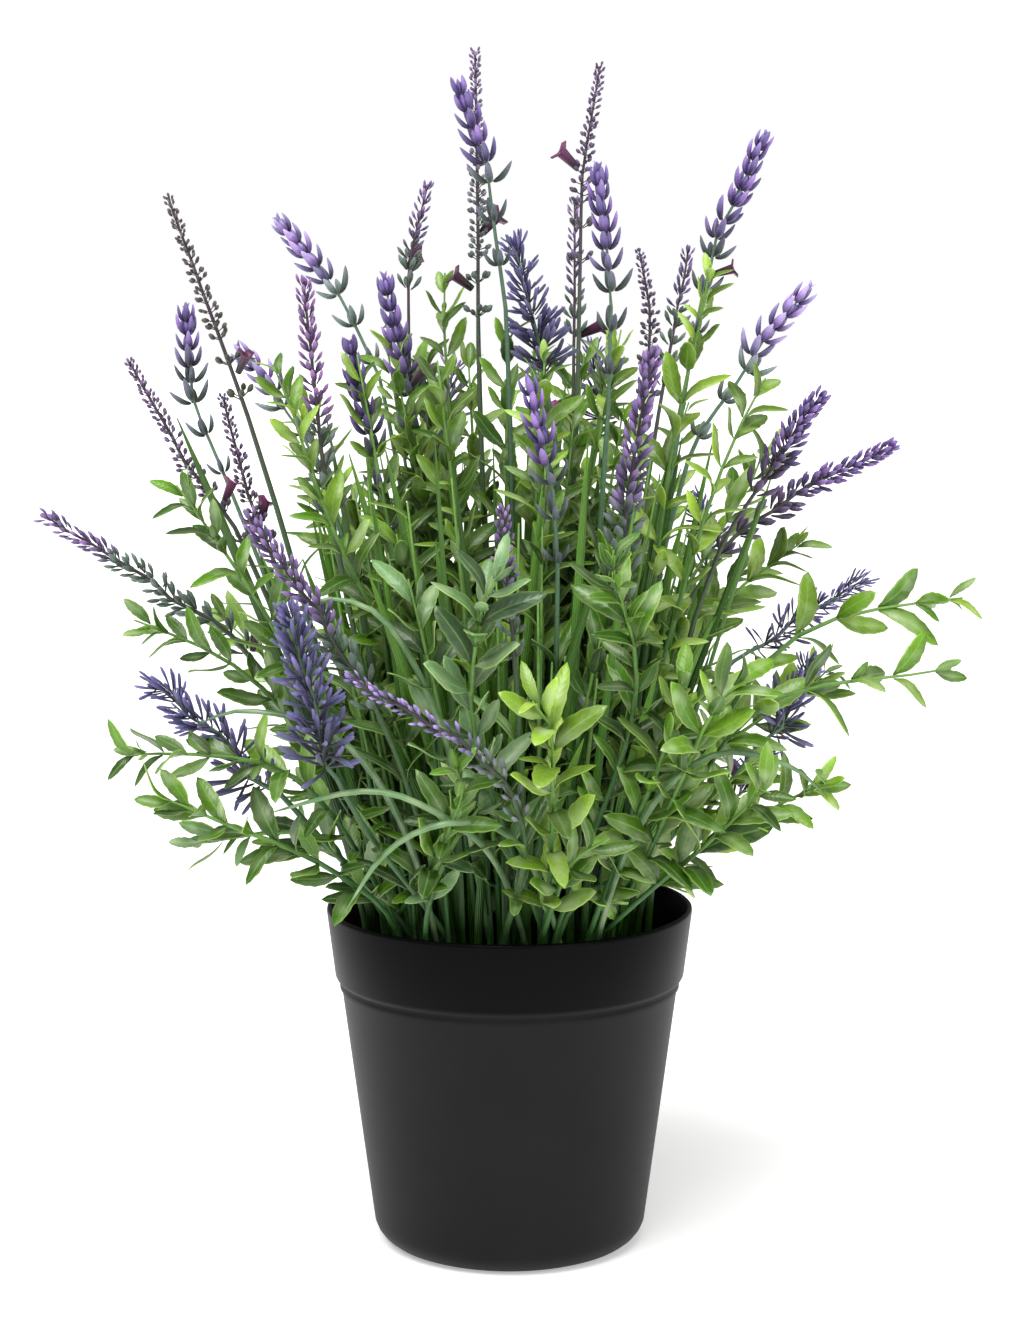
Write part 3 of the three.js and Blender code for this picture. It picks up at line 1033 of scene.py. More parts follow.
@dataclass
class FlowerStem:
    """One lavender stem: its sleeve, its buds by habit, a few open florets and slim leaves."""

    node: str
    shop: Workshop
    habit: Habit
    dye: Dye
    florets: int = 0
    green: float = 0.0
    fullness: float = 1.0
    leaves: int = 2

    STEM, BUDS, FLORETS, LEAVES = range(4)

    def build(self) -> Object:
        """Builds the stem around its CAD node and returns it."""
        number = int(self.node.rsplit("_", 1)[1])
        self.random = random.Random(100 + number)
        self.path, neck, self.radius = spine(self.node)
        self.neck = min(neck, self.path.length - 14 * MM)
        sleeve = self.shop.grey_stem if self.habit in (Habit.WHORLED, Habit.BRISTLED) else self.shop.plum_stem
        materials = [sleeve, self.shop.bud(self.dye), self.shop.floret, self.shop.leaf_plastic]
        self.piece = Piece(f"lavender_{self.node}", materials)
        self.raise_stem()
        grow = {
            Habit.WHORLED: self.set_whorls,
            Habit.BEADED: self.set_beads,
            Habit.FEATHERED: self.set_feathers,
            Habit.BRISTLED: self.set_bristles,
        }
        grow[self.habit]()
        self.open_florets()
        self.set_leaves()
        return self.piece.finish("lavender_flower", self.node)

    def raise_stem(self) -> None:
        """Sweeps the sleeve from the soil to just under the tip."""
        widths = [(0, 1.1 * MM), (0.6, 0.9 * MM), (1, 0.35 * MM)]
        end = self.path.length - 3 * MM
        self.piece.sweep(self.path, widths, self.STEM, self.random.random(), steps=26, end=end)

    def ring(
        self,
        distance: float,
        kind: BudKind,
        count: int,
        lean: float,
        size: float,
        grade: float,
        out: float,
        loose: float = 0.14,
        first: float | None = None,
    ) -> None:
        """Sets one ring of buds round the stem.

        Args:
            distance: how far up the stem.
            kind: which bud.
            count: how many.
            lean: how far they lean from the stem, in radians.
            size: their scale.
            grade: their shade, from the spike's foot to its tip.
            out: how far from the stem's middle they stand.
            loose: how unevenly they stand, as a share.
            first: which way round the first one stands, or None for any way.
        """
        first = self.random.uniform(0, math.tau) if first is None else first
        for i in range(count):
            place, axis = self.path.at(distance + self.random.uniform(-1, 1) * loose * 4 * MM)
            turn = first + math.tau * i / count + self.random.uniform(-1.4, 1.4) * loose
            along, side = leaning(axis, turn, lean * self.random.uniform(1 - loose, 1 + loose))
            stand = aimed(place + side * out, along, -side, size * self.random.uniform(0.88, 1.1))
            self.piece.copy(self.shop.shapes[kind], stand, self.BUDS, grade, self.random.random())

    def climb(self, start: float, first_gap: float, last_gap: float) -> list[tuple[float, float]]:
        """Steps up the spike with gaps that close towards its tip.

        Args:
            start: where the spike starts.
            first_gap: gap at its foot.
            last_gap: gap at its tip.

        Returns:
            Distance and share of the spike for each step.
        """
        steps = []
        here, end = start, self.path.length - 2.5 * MM
        while here < end:
            share = (here - start) / (end - start)
            steps.append((here, share))
            here += (first_gap + (last_gap - first_gap) * share) * self.random.uniform(0.9, 1.1)
        return steps

    def tinted(self, share: float) -> float:
        """Tells how violet the spike is at a share of its length."""
        return max(share - self.green, 0) / (1 - self.green)

    def set_whorls(self) -> None:
        """Sets cupped buds in rings of four, spaced out and green under the neck and close above it."""
        fit = min(max(self.radius / (6.2 * MM), 0.88), 1.16)
        for drop, size in ((26, 0.85), (12, 1.0)):
            self.ring(self.neck - drop * MM, BudKind.BOAT, 4, 1.15, size * fit, 0.02, 0.7 * MM, 0.08, 0.2)
        turn = self.random.uniform(-0.25, 0.25)
        for distance, share in self.climb(self.neck, 6.2 * MM, 4.2 * MM):
            lean = 1.32 - 0.5 * share
            size = (1.14 - 0.3 * share) * fit
            grade = 0.04 + 0.96 * self.tinted(share) ** 0.7
            self.ring(distance, BudKind.BOAT, 4, lean, size, grade, 0.7 * MM, 0.08, turn)
            if share > 0.35:
                inner = size * 0.72
                self.ring(distance, BudKind.BOAT, 4, lean * 0.6, inner, grade, 0.4 * MM, 0.12, turn + 0.8)
            turn += self.random.uniform(-0.3, 0.3)
        self.cap(BudKind.BOAT, 0.72 * fit)

    def set_beads(self) -> None:
        """Sets small stalked buds close together, smaller towards the tip."""
        for distance, share in self.climb(self.neck - 10 * MM, 3.4 * MM, 1.7 * MM):
            lean, size, grade = 1.15 - 0.4 * share, 0.95 - 0.42 * share, 0.2 + 0.8 * share
            self.ring(distance, BudKind.BEAD, 5, lean, size, grade, 0.3 * MM, loose=0.22)
        for drop in (18, 29):
            self.ring(self.neck - drop * MM, BudKind.BEAD, 5, 1.0, 1.15, 0.1, 0.6 * MM)
        self.cap(BudKind.BEAD, 0.45)

    def set_feathers(self) -> None:
        """Sets small lance-shaped buds in close rings, with leafy ones at the foot."""
        fit = min(max(self.radius / (6 * MM), 0.8), 1.15) * self.fullness**0.5
        count = round(4 * self.fullness)
        gap = 3.4 * MM / self.fullness**0.5
        for distance, share in self.climb(self.neck, gap, gap * 0.62):
            size = (1.22 - 0.45 * share) * fit
            grade = 0.04 + 0.96 * self.tinted(share) ** 0.6
            lean = 1.05 - 0.4 * share
            self.ring(distance, BudKind.LANCE, count, lean, size, grade, 0.8 * MM * fit, loose=0.2)
        for drop in (4, 10, 17, 25)[: 4 if self.radius > 4.5 * MM else 2]:
            self.ring(self.neck - drop * MM, BudKind.LANCE, 4, 0.85, 1.5 * fit, 0.0, 0.8 * MM)
        self.cap(BudKind.LANCE, 0.7 * fit)

    def set_bristles(self) -> None:
        """Sets thin tubes loosely all round the spike."""
        fit = min(max(self.radius / (7 * MM), 0.8), 1.2)
        for distance, share in self.climb(self.neck - 2 * MM, 3.4 * MM, 2.4 * MM):
            size = (1.2 - 0.5 * share) * fit * self.random.uniform(0.7, 1.2)
            lean, grade = 1.15 - 0.5 * share, 0.2 + 0.8 * share
            self.ring(distance, BudKind.TUBE, 8, lean, size, grade, 0.5 * MM, loose=0.5)
        self.cap(BudKind.TUBE, 0.6 * fit)

    def cap(self, kind: BudKind, size: float) -> None:
        """Closes the spike's tip with small upright buds.

        Args:
            kind: which bud.
            size: their scale.
        """
        self.ring(self.path.length - 3.2 * MM, kind, 4, 0.22, size * 0.85, 1.0, 0.3 * MM)
        place, axis = self.path.at(self.path.length - 3.4 * MM)
        self.piece.copy(self.shop.shapes[kind], aimed(place, axis, BACK, size * 0.7), self.BUDS, 1.0, 0.5)

    def open_florets(self) -> None:
        """Opens a few trumpet florets on the spike."""
        for _ in range(self.florets):
            place, axis = self.path.at(self.neck + self.random.uniform(-26, 4) * MM)
            along, side = leaning(axis, self.random.uniform(0, math.tau), self.random.uniform(0.7, 1.1))
            stand = aimed(place + side * 2 * MM, along, -side, self.random.uniform(1.0, 1.4))
            grade, own = self.random.random(), self.random.random()
            self.piece.copy(self.shop.trumpet, stand, self.FLORETS, grade, own)

    def set_leaves(self) -> None:
        """Sets pairs of slim leaves on the bare stem."""
        for i in range(self.leaves):
            distance = self.neck * (0.42 + 0.4 * i / self.leaves) + self.random.uniform(-4, 4) * MM
            place, axis = self.path.at(distance)
            turn = self.random.uniform(0, math.tau)
            for side_turn in (0, math.pi):
                along, side = leaning(axis, turn + side_turn, self.random.uniform(0.5, 0.85))
                stand = aimed(place + side * 0.6 * MM, along, -side, self.random.uniform(0.7, 1.0))
                plant, own = self.random.uniform(0.2, 0.7), self.random.random()
                self.piece.copy(self.shop.slim_leaf, stand, self.LEAVES, plant, own)


@dataclass
class LeafShoot:
    """Leafy branches: stems with crossed pairs of toothed leaves that shrink towards the tip."""

    name: str
    shop: Workshop
    paths: list[Path]
    shades: tuple[float, ...]
    seed: int
    nodes: tuple[str, ...] = ()
    gap: float = 11.5 * MM
    bare: float = 0.34
    size: float = 1.0
    rim_height: float = 124 * MM
    trim: float = 0.0

    def build(self) -> Object:
        """Builds the branches and returns them as one piece."""
        self.random = random.Random(self.seed)
        self.piece = Piece(self.name, [self.shop.green_stem, self.shop.leaf_plastic])
        for number, path in enumerate(self.paths):
            self.shade = self.shades[number % len(self.shades)]
            self.grow(path)
        return self.piece.finish("leaf_green", *self.nodes)

    def grow(self, path: Path) -> None:
        """Grows one branch.

        Args:
            path: its line.
        """
        end = path.length - self.trim
        widths = [(0, 1.0 * MM), (0.7, 0.8 * MM), (1, 0.3 * MM)]
        self.piece.sweep(path, widths, 0, self.random.random(), steps=14, end=end)
        turn = self.random.uniform(0, math.pi)
        here = end * self.bare
        while here < end - 1.5 * MM:
            share = (here - end * self.bare) / (end * (1 - self.bare))
            size = self.size * between([(0, 0.85), (0.35, 1.05), (0.8, 0.95), (1, 0.62)], share)
            lean = between([(0, 0.88), (0.6, 0.78), (0.9, 0.65), (1, 0.45)], share)
            self.pair(path, here, turn, lean, size)
            turn += math.pi / 2 + self.random.uniform(-0.25, 0.25)
            gap = self.gap * between([(0, 1.15), (0.7, 0.9), (1, 0.45)], share)
            here += gap * self.random.uniform(0.85, 1.15)

    def pair(self, path: Path, distance: float, turn: float, lean: float, size: float) -> None:
        """Sets two opposite leaves.

        Args:
            path: the branch's line.
            distance: how far along it.
            turn: which way round the stem.
            lean: how far they lean out, in radians.
            size: their scale.
        """
        place, axis = path.at(distance)
        extra = (math.pi / 2,) if self.random.random() < 0.35 else ()
        for half in (0, math.pi, *extra):
            twist = turn + half + self.random.uniform(-0.3, 0.3)
            along, side = leaning(axis, twist, lean * self.random.uniform(0.7, 1.2))
            grown = size * self.random.uniform(0.65, 1.15) * (0.6 if half in extra else 1)
            if (place + along * 20 * MM * grown).z < self.rim_height:
                continue
            face = Vector((0, -self.random.uniform(0.0, 1.5), 0.5)) - side
            stand = aimed(place + side * 0.7 * MM, along, face, grown)
            plant = min(max(self.shade + self.random.uniform(-0.15, 0.15), 0), 1)
            # a random own tone, scaled down by painted shade for leaves inside the bush
            own = self.random.random() * sunlit(place)
            self.piece.copy(self.random.choice(self.shop.leaves), stand, 1, plant, own)


@dataclass
class StrapTuft:
    """A tuft of long narrow blades that arch out from one crown."""

    node: str
    shop: Workshop
    blades: int = 9
    half_width: float = 2.4 * MM

    def build(self) -> Object:
        """Builds the CAD node's three blades and fills in between them."""
        number = int(self.node.rsplit("_", 1)[1])
        self.random = random.Random(500 + number)
        piece = Piece(f"blades_{self.node}", [self.shop.blade_plastic])
        main = branches(self.node, 3)
        widths = tapered(self.half_width)
        lines = [*main]
        root = main[0].points[0]
        while len(lines) < self.blades:
            a, b = self.random.sample(main, 2)
            tip = a.points[-1].lerp(b.points[-1], self.random.uniform(-0.3, 1.3))
            tip = root + (tip - root) * self.random.uniform(0.62, 1.0)
            tip += Vector((self.random.uniform(-14, 14), self.random.uniform(-14, 14), 0)) * MM
            middle = root.lerp(tip, 0.5) + UP * (tip - root).length * 0.06
            middle.x = root.x + (tip.x - root.x) * 0.36
            middle.y = root.y + (tip.y - root.y) * 0.36
            lines.append(grown_line([root, root.lerp(middle, 0.5) + UP * 2 * MM, middle, tip], 3))
        for line in lines:
            face = Vector((self.random.uniform(-0.8, 0.8), -1, 0.2))
            piece.sweep(line, widths, 0, self.random.random(), sides=6, steps=12, flat=0.16, face=face)
        return piece.finish("strap_green", self.node)


@dataclass
class Infill:
    """Extra leafy sprays that close the mass of leaves between the shoots."""

    shop: Workshop
    sprays: int = 32
    tall: int = 30
    seed: int = 71

    FRONT = (
        (((-24, -38, 94), (-27, -50, 116), (-20, -60, 140), (-6, -66, 160)), 0.0, 0.62),
        (((20, -36, 94), (30, -56, 130), (46, -78, 172), (52, -84, 200)), 0.75, 0.9),
        (((-8, -30, 94), (-14, -50, 150), (-24, -66, 200), (-30, -70, 226)), 0.15, 1.05),
        (((6, -34, 94), (12, -58, 120), (18, -76, 142), (30, -84, 150)), 0.5, 0.85),
    )

    def build(self) -> None:
        """Builds low sprays on a spiral round the pot's axis, tall ones in a ring, and the front ones."""
        draw = random.Random(self.seed)
        golden = math.pi * (3 - math.sqrt(5))
        for i in range(self.sprays):
            share = (i + 0.5) / self.sprays
            turn = i * golden + draw.uniform(-0.2, 0.2)
            lift = math.radians(26 + 48 * share**0.9)
            reach = (76 + 28 * draw.random()) * MM
            out = Vector((math.cos(turn), math.sin(turn) * 0.86, 0)) * math.cos(lift) * reach
            tip = out + UP * (112 * MM + math.sin(lift) * reach * draw.uniform(1.2, 1.3 + 0.7 * share))
            foot = Vector((math.cos(turn), math.sin(turn), 0)) * (12 + 22 * (1 - share)) * MM + UP * ROOTING
            middle = foot.lerp(tip, 0.42) + UP * 16 * MM
            front = max(-math.sin(turn), 0) * (1 - share)
            shade = min(max(0.62 + 0.25 * share - 0.45 * front + draw.uniform(-0.25, 0.25), 0), 1)
            self.spray(f"leaf_spray_{i + 1:02d}", [foot, foot + UP * 14 * MM, middle, tip], shade, 900 + i)
        for i in range(self.tall):
            turn = (i + draw.uniform(0, 0.8)) * math.tau / self.tall
            way = Vector((math.cos(turn), math.sin(turn) * 0.8, 0))
            foot = way * draw.uniform(8, 30) * MM + UP * ROOTING
            tip = way * draw.uniform(30, 84) * MM + Vector((0, 30, draw.uniform(226, 300))) * MM
            middle = foot.lerp(tip, 0.5) - way * draw.uniform(2, 9) * MM
            points = [foot, foot + UP * 20 * MM, middle, tip]
            self.spray(f"tall_spray_{i + 1:02d}", points, draw.uniform(0.6, 1.0), 1300 + i, 0.36, 0.78)
        for i, (points, shade, size) in enumerate(self.FRONT):
            places = [Vector(point) * MM for point in points]
            self.spray(f"front_spray_{i + 1:02d}", places, shade, 1500 + i, 0.3, size)

    def spray(
        self, name: str, points: list[Vector], shade: float, seed: int, bare: float = 0.3, size: float = 0.95
    ) -> None:
        """Grows one spray through points."""
        LeafShoot(name, self.shop, [grown_line(points)], (shade,), seed, bare=bare, size=size).build()


@dataclass
class ArchedBlades:
    """Long grey-green blades that arch over the front of the leaves."""

    shop: Workshop
    half_width: float = 1.25 * MM

    LINES = (
        ((8, -32, 94), (-2, -62, 140), (-22, -84, 159), (-41, -88, 167), (-71, -80, 157)),
        ((20, -36, 94), (6, -66, 146), (-14, -84, 157), (-36, -80, 148), (-49, -72, 126)),
        ((-20, -34, 94), (-30, -66, 150), (-50, -84, 184), (-80, -86, 190), (-92, -84, 184)),
        ((24, -36, 94), (36, -70, 150), (58, -84, 178), (84, -76, 172), (96, -70, 160)),
        ((-4, -34, 94), (-16, -58, 170), (-34, -70, 214), (-52, -72, 222), (-66, -70, 216)),
    )

    def build(self) -> Object:
        """Builds the blades and returns them as one piece."""
        draw = random.Random(611)
        piece = Piece("arched_blades", [self.shop.leaf_plastic])
        widths = tapered(self.half_width, ((0, 0.7), (0.5, 1.0), (0.85, 0.8), (0.96, 0.4), (1, 0.1)))
        for points in self.LINES:
            path = grown_line([Vector(point) * MM for point in points], 3)
            face = Vector((draw.uniform(-0.4, 0.4), -1, 0.6))
            piece.sweep(path, widths, 0, draw.uniform(0.15, 0.45), steps=24, flat=0.25, face=face)
        return piece.finish("strap_green")


@dataclass
class Thicket:
    """Thin green stems and blades that stand close together and fill the middle of the plant."""

    shop: Workshop
    clumps: int = 6
    stems: int = 13
    blades: int = 17
    seed: int = 207

    def build(self) -> None:
        """Builds one clump a sector round the pot's axis."""
        draw = random.Random(self.seed)
        for clump in range(self.clumps):
            materials = [self.shop.green_stem, self.shop.leaf_plastic, self.shop.blade_plastic]
            piece = Piece(f"thicket_{clump + 1:02d}", materials)
            centre = math.tau * clump / self.clumps
            for _ in range(self.stems):
                path = self.line(draw, centre, 170, 262, 1.0)
                sleeve = [(0, 0.85 * MM), (0.7, 0.7 * MM), (1, 0.3 * MM)]
                piece.sweep(path, sleeve, 0, draw.random() * 0.7, 5, 9)
                for _ in range(draw.randint(2, 4)):
                    place, axis = path.at(path.length * draw.uniform(0.35, 0.97))
                    along, side = leaning(axis, draw.uniform(0, math.tau), draw.uniform(0.4, 1.0))
                    stand = aimed(place, along, -side, draw.uniform(0.45, 0.85))
                    shape = draw.choice([*self.shop.leaves, self.shop.slim_leaf])
                    piece.copy(shape, stand, 1, draw.uniform(0.2, 0.9), draw.random() * 0.6)
            for _ in range(self.blades):
                widths = tapered(draw.uniform(1.0, 2.2) * MM)
                path = self.line(draw, centre, 165, 275, 1.25)
                face = Vector((draw.uniform(-0.9, 0.9), -1, 0.2))
                piece.sweep(path, widths, 2, draw.random() * 0.8, 6, 11, 0.14, face=face)
            piece.finish("strap_green")

    def line(self, draw: random.Random, centre: float, low: float, high: float, fan: float) -> Path:
        """Draws one stem's line.

        Args:
            draw: the random numbers.
            centre: the clump's direction round the axis.
            low: least height of the tip, in millimetres.
            high: greatest height of the tip, in millimetres.
            fan: how much further out the tip stands than the foot.

        Returns:
            The line.
        """
        turn = centre + draw.uniform(-0.62, 0.62)
        out = 47 * math.sqrt(draw.uniform(0.02, 1)) * MM
        way = Vector((math.cos(turn), math.sin(turn), 0))
        foot = way * out + UP * ROOTING
        height = draw.uniform(low, high)
        bent = Matrix.Rotation(draw.uniform(-0.3, 0.3), 3, "Z") @ way
        arch = bent * fan * draw.uniform(0.15, 0.62) * (height - 95) * 0.5 * MM
        tip = way * out * 0.9 + arch + UP * height * MM
        middle = foot.lerp(tip, 0.5) - way * draw.uniform(0, 5) * MM + UP * 6 * MM
        return grown_line([foot, foot + UP * 14 * MM, middle, tip])


# ---- Pot and soil ----


@dataclass
class FlowerPot:
    """The moulded pot: tapered body, soft ridge under a rolled band, and a hub and foot ring below."""

    node: str = "pot"
    steps: int = 128
    wall: float = 1.8 * MM
    height: float = 112 * MM
    rim: float = 60 * MM
    band_foot: float = 57.2 * MM
    band_low: float = 89 * MM
    shoulder: float = 55.2 * MM
    base: float = 45 * MM
    corner: float = 9 * MM

    def outline(self) -> list[tuple[float, float]]:
        """Returns the wall's outline as (radius, height), from the hub below to the floor inside."""
        flat = self.base - self.corner
        turns = [math.radians(a) for a in range(0, 91, 15)]
        corner = [(flat + self.corner * math.sin(a), self.corner - self.corner * math.cos(a)) for a in turns]
        mm = MM  # the small steps of the moulded edges
        outside = [(13 * mm, 0), (14 * mm, 2 * mm), (flat - 6 * mm, 2 * mm), (flat - 5 * mm, 0), *corner]
        ridge = [
            (self.shoulder - 0.25 * mm, self.band_low - 5.0 * mm),
            (self.shoulder + 0.55 * mm, self.band_low - 3.7 * mm),
            (self.shoulder + 0.5 * mm, self.band_low - 2.5 * mm),
            (self.shoulder, self.band_low - 1.6 * mm),
            (self.band_foot - 0.5 * mm, self.band_low - 0.4 * mm),
            (self.band_foot, self.band_low + 0.5 * mm),
        ]
        lip = [
            (self.rim - 0.15 * mm, self.height - 1.4 * mm),
            (self.rim - 0.25 * mm, self.height - 0.5 * mm),
            (self.rim - 0.8 * mm, self.height),
            (self.rim - 1.4 * mm, self.height - 0.15 * mm),
            (self.rim - self.wall, self.height - 0.7 * mm),
        ]
        inside = [
            (self.band_foot - self.wall, self.band_low + 1.0 * mm),
            (self.shoulder - self.wall, self.band_low - 3.0 * mm),
            (flat + self.corner - self.wall, self.corner + 2 * mm),
            (flat + 2 * mm, 3.8 * mm),
        ]
        return [*outside, *ridge, *lip, *inside]

    def build(self, plastic: Material) -> Object:
        """Spins the outline round the pot's axis.

        Args:
            plastic: the pot's finish.

        Returns:
            The finished pot.
        """
        piece = Piece("flower_pot", [plastic])
        bm = piece.bm
        points = [(0, 0), *self.outline(), (0, 3.8 * MM)]
        corners = [bm.verts.new((radius, 0, height)) for radius, height in points]
        edges = [bm.edges.new(pair) for pair in zip(corners, corners[1:])]
        turned = {"cent": (0, 0, 0), "axis": UP, "angle": math.tau, "steps": self.steps}
        bmesh.ops.spin(bm, geom=corners + edges, use_merge=True, **turned)
        bmesh.ops.remove_doubles(bm, verts=bm.verts, dist=SAME)
        bmesh.ops.recalc_face_normals(bm, faces=bm.faces)
        return piece.finish("pot_plastic", self.node)


@dataclass
class Soil:
    """The compost: a closed plug with a rough crown and loose crumbs on it."""

    node: str = "potting_soil"
    crumbs: int = 320
    rings: int = 26
    dome: float = 2.4 * MM

    def build(self, peat: Material) -> Object:
        """Builds the plug inside its CAD node's box.

        Args:
            peat: the compost's finish.

        Returns:
            The finished plug.
        """
        low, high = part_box(self.node)
        draw = random.Random(33)
        piece = Piece("compost", [peat])
        bm = piece.bm
        radius = high.x
        top = high.z - 3 * MM
        bmesh.ops.create_cone(
            bm, cap_ends=True, segments=96, radius1=radius * 0.79, radius2=radius, depth=top - low.z,
            matrix=Matrix.Translation((0, 0, (top + low.z) / 2)),
        )
        crown = [f for f in bm.faces if f.normal.z > 0.9]
        step = radius / (self.rings + 1)
        for _ in range(self.rings):
            bmesh.ops.inset_region(bm, faces=crown, thickness=step, use_even_offset=False)
        for vertex in bm.verts:
            if vertex.co.z > top - 0.1 * MM:
                share = vertex.co.xy.length / radius
                rough = noise.fractal(vertex.co * 220, 0.8, 2.2, 4) * 1.6 * MM
                vertex.co.z += (1 - share**2) * self.dome + rough * (1 if share < 0.97 else 0.2)
        crumb = bmesh.new()
        crumb.verts.layers.float_color.new(DYE)
        bmesh.ops.create_icosphere(crumb, subdivisions=1, radius=1)
        for vertex in crumb.verts:
            vertex.co *= 0.75 + 0.4 * draw.random()
        shape = template(crumb, "crumb")
        for _ in range(self.crumbs):
            turn, out = draw.uniform(0, math.tau), radius * math.sqrt(draw.random()) * 0.96
            size = draw.uniform(0.5, 1.7) * MM
            height = top + (1 - (out / radius) ** 2) * self.dome
            place = Vector((math.cos(turn) * out, math.sin(turn) * out, height))
            tilt = Vector((draw.uniform(-1, 1), draw.uniform(-1, 1), 1))
            piece.copy(shape, aimed(place, tilt, Vector((1, 0, 0)), size), 0, 0, draw.random())
        return piece.finish("soil", self.node)


# ---- Room ----


@dataclass
class Studio:
    """A pale floor, soft lights and the camera."""

    camera_place: Vector = field(default_factory=lambda: Vector((0.0026, -0.900, 0.3094)))
    pitch: float = math.radians(7.45)
    lens: float = 76.0
    floor_size: float = 12.0

    def build(self) -> None:
        """Builds the room."""
        self.set_camera()
        self.lay_floor()
        self.light()

    def set_camera(self) -> None:
        """Stands the camera in front of the plant, a little above it and looking slightly down."""
        data = bpy.data.cameras.new("camera")
        data.lens = self.lens
        data.sensor_width = 36
        camera = bpy.data.objects.new("camera", data)
        camera.location = self.camera_place
        camera.rotation_euler = (math.pi / 2 - self.pitch, 0, 0)
        bpy.context.scene.collection.objects.link(camera)
        bpy.context.scene.camera = camera

    def lay_floor(self) -> None:
        """Lays the pale floor."""
        bm = bmesh.new()
        bmesh.ops.create_circle(bm, cap_ends=True, segments=96, radius=self.floor_size)
        mesh = bpy.data.meshes.new("studio_floor")
        bm.to_mesh(mesh)
        bm.free()
        mesh.materials.append(PalePaper().material())
        floor = bpy.data.objects.new("studio_floor", mesh)
        bpy.context.scene.collection.objects.link(floor)

    def lamp(self, name: str, place: Vector, size: float, watts: float) -> None:
        """Hangs one square lamp that faces the plant.

        Args:
            name: the lamp's name.
            place: where it hangs.
            size: its side.
            watts: its power.
        """
        data = bpy.data.lights.new(name, "AREA")
        data.size = size
        data.energy = watts
        lamp = bpy.data.objects.new(name, data)
        lamp.location = place
        lamp.rotation_euler = (Vector((0, 0, 0.2)) - place).to_track_quat("-Z", "Y").to_euler()
        bpy.context.scene.collection.objects.link(lamp)

    def light(self) -> None:
        """Sets a bright even sky, a wide soft key from above and a weak fill from the front."""
        scene = bpy.context.scene
        world = bpy.data.worlds.new("studio_sky")
        scene.world = world
        world.use_nodes = True
        nodes = Nodes(world.node_tree)
        rays = nodes.add("LightPath").outputs["Is Camera Ray"]
        sky = world.node_tree.nodes["Background"]
        sky.inputs["Color"].default_value = (1, 1, 1, 1)
        nodes.join(nodes.blend((rays, 0.34, 1.0)), sky.inputs["Strength"])
        sun = bpy.data.lights.new("key", "SUN")
        sun.energy = 3.6
        sun.angle = math.radians(46)
        key = bpy.data.objects.new("key", sun)
        key.rotation_euler = Vector((0.26, 0.6, -1.3)).to_track_quat("-Z", "Y").to_euler()
        scene.collection.objects.link(key)
        self.lamp("fill", Vector((0.9, -1.4, 0.8)), 0.8, 6.0)
        scene.view_settings.view_transform = "Standard"


# ---- Putting it together ----

DYES = {
    Dye.VIOLET: (2, 4, 5, 11, 17, 24),
    Dye.LIGHT_VIOLET: (6, 10, 18),
    Dye.DARK_VIOLET: (16,),
    Dye.PLUM: (3, 12, 19, 29),
    Dye.MOSS: (9,),
    Dye.SAGE_PLUM: (1,),
    Dye.ORCHID: (13, 14, 20, 27, 28, 30, 31),
    Dye.PURPLE: (7, 8),
    Dye.MAGENTA: (15,),
    Dye.LILAC: (23,),
    Dye.SLATE: (21, 22, 26, 32, 33, 34, 35, 36),
    Dye.PALE_SLATE: (25,),
}
# By the number of the flower stem: its open florets, the share of its spike that is green, how full the spike
# is, and its habit where that isn't the one in its name.
FLORETS = {1: 2, 3: 1, 5: 1, 9: 1, 12: 1, 14: 2, 17: 2, 19: 2, 13: 1, 25: 2, 26: 1, 28: 1, 35: 2}
GREEN = {4: 0.1, 11: 0.35, 13: 0.5, 14: 0.1}
FULLNESS = {7: 1.5, 8: 1.25, 14: 0.9, 20: 0.95, 23: 0.8, 28: 0.85, 30: 0.9}
HABITS = {7: Habit.FEATHERED}
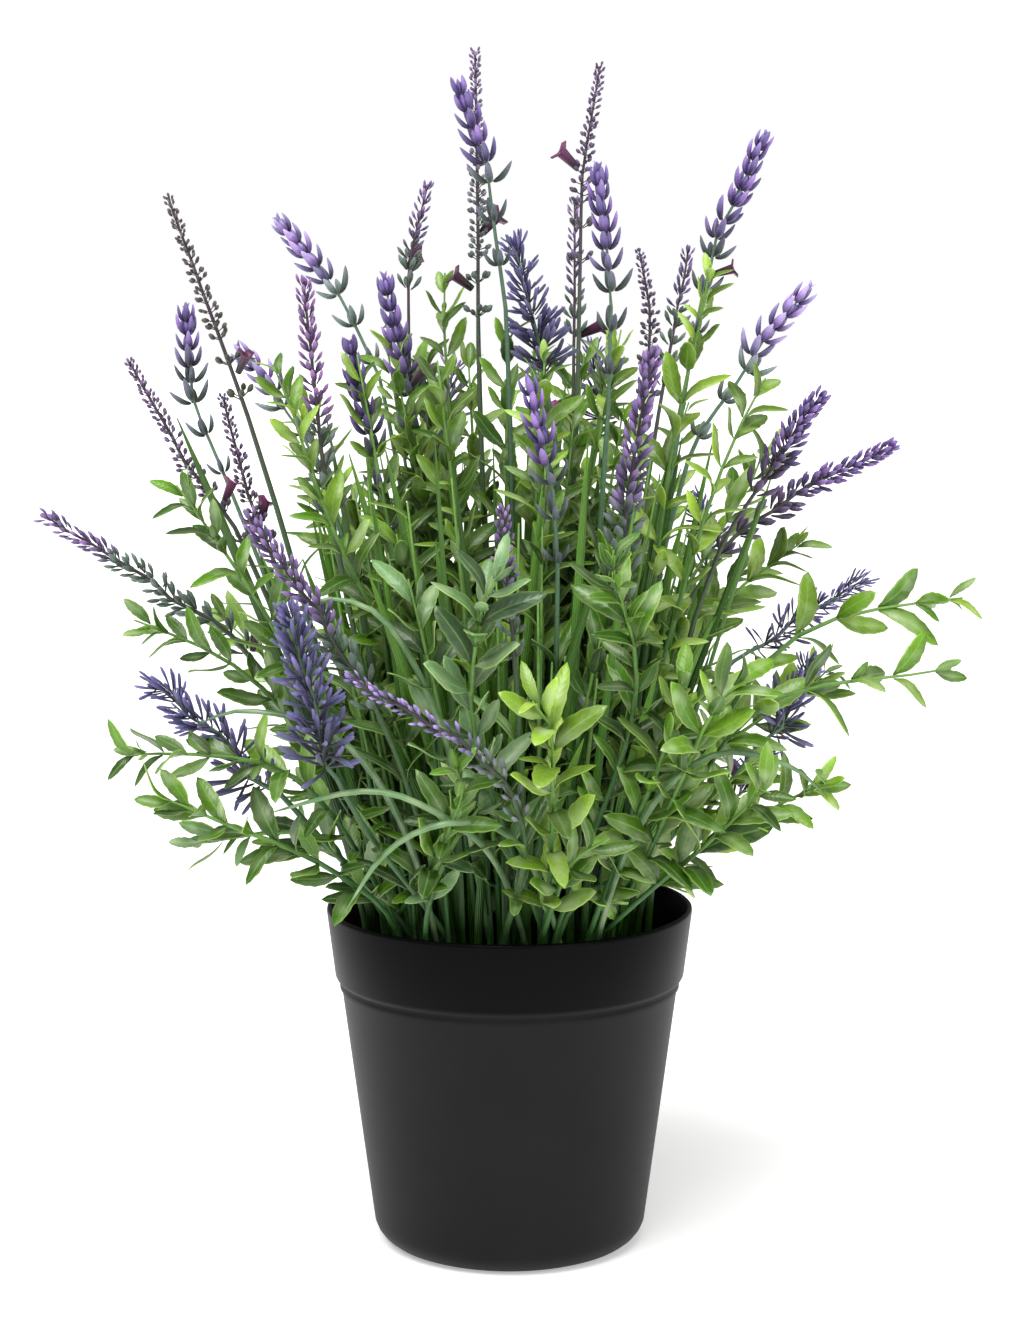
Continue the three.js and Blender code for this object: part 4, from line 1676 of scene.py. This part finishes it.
# Leafy shoots in order: the shades of their branches, the gap between leaf pairs in mm, and their size.
SHOOTS = [
    ((0.75,), 17, 0.95), ((0.65,), 9, 1.0), ((0.95,), 11, 0.8), ((0.85,), 10, 0.85),
    ((0.75,), 11, 0.74), ((0.05, 0.95), 9, 0.95), ((0.6,), 9, 0.86), ((0.6,), 9, 0.86),
    ((0.6, 0.2), 9, 0.85), ((0.45, 0.8), 9, 0.9), ((0.7,), 9, 1.0), ((0.7,), 9, 1.0),
    ((0.8,), 9, 1.0), ((0.85,), 9, 1.0), ((0.7,), 9, 1.0), ((0.8,), 9, 1.0),
]  # fmt: skip
TRIMS = {1: 19, 3: 10, 5: 10}  # how far a shoot's stems end before its CAD node does, in millimetres
SHORT_TRIM = 6


def main() -> None:
    """Builds the room, the pot, the soil and the plant."""
    logging.basicConfig(level=logging.INFO, format="%(message)s")
    Studio().build()
    shop = Workshop()
    FlowerPot().build(SatinPolypropylene().material())
    Soil().build(DampPeat().material())
    for node in sorted(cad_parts):
        number = int(node.rsplit("_", 1)[1]) if node[-1].isdigit() else 0
        if "flower_stem" in node:
            habit = HABITS.get(number, Habit(node.split("_", 1)[0]))
            dye = next(dye for dye, numbers in DYES.items() if number in numbers)
            rest = FLORETS.get(number, 0), GREEN.get(number, 0.0), FULLNESS.get(number, 1.0)
            FlowerStem(node, shop, habit, dye, *rest).build()
        elif node.startswith("leafy_shoot"):
            shades, gap, size = SHOOTS[number - 1]
            rest = {"gap": gap * MM, "size": size, "trim": TRIMS.get(number, SHORT_TRIM) * MM}
            paths = branches(node, 2)
            LeafShoot(f"leaves_{node}", shop, paths, shades, 300 + number, (node,), **rest).build()
        elif node.startswith("strap_leaf_tuft"):
            StrapTuft(node, shop).build()
    Infill(shop).build()
    ArchedBlades(shop).build()
    Thicket(shop).build()
    for mesh in (*shop.shapes.values(), shop.trumpet, *shop.leaves, shop.slim_leaf):
        bpy.data.meshes.remove(mesh)
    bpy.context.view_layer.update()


if __name__ == "__main__":
    main()
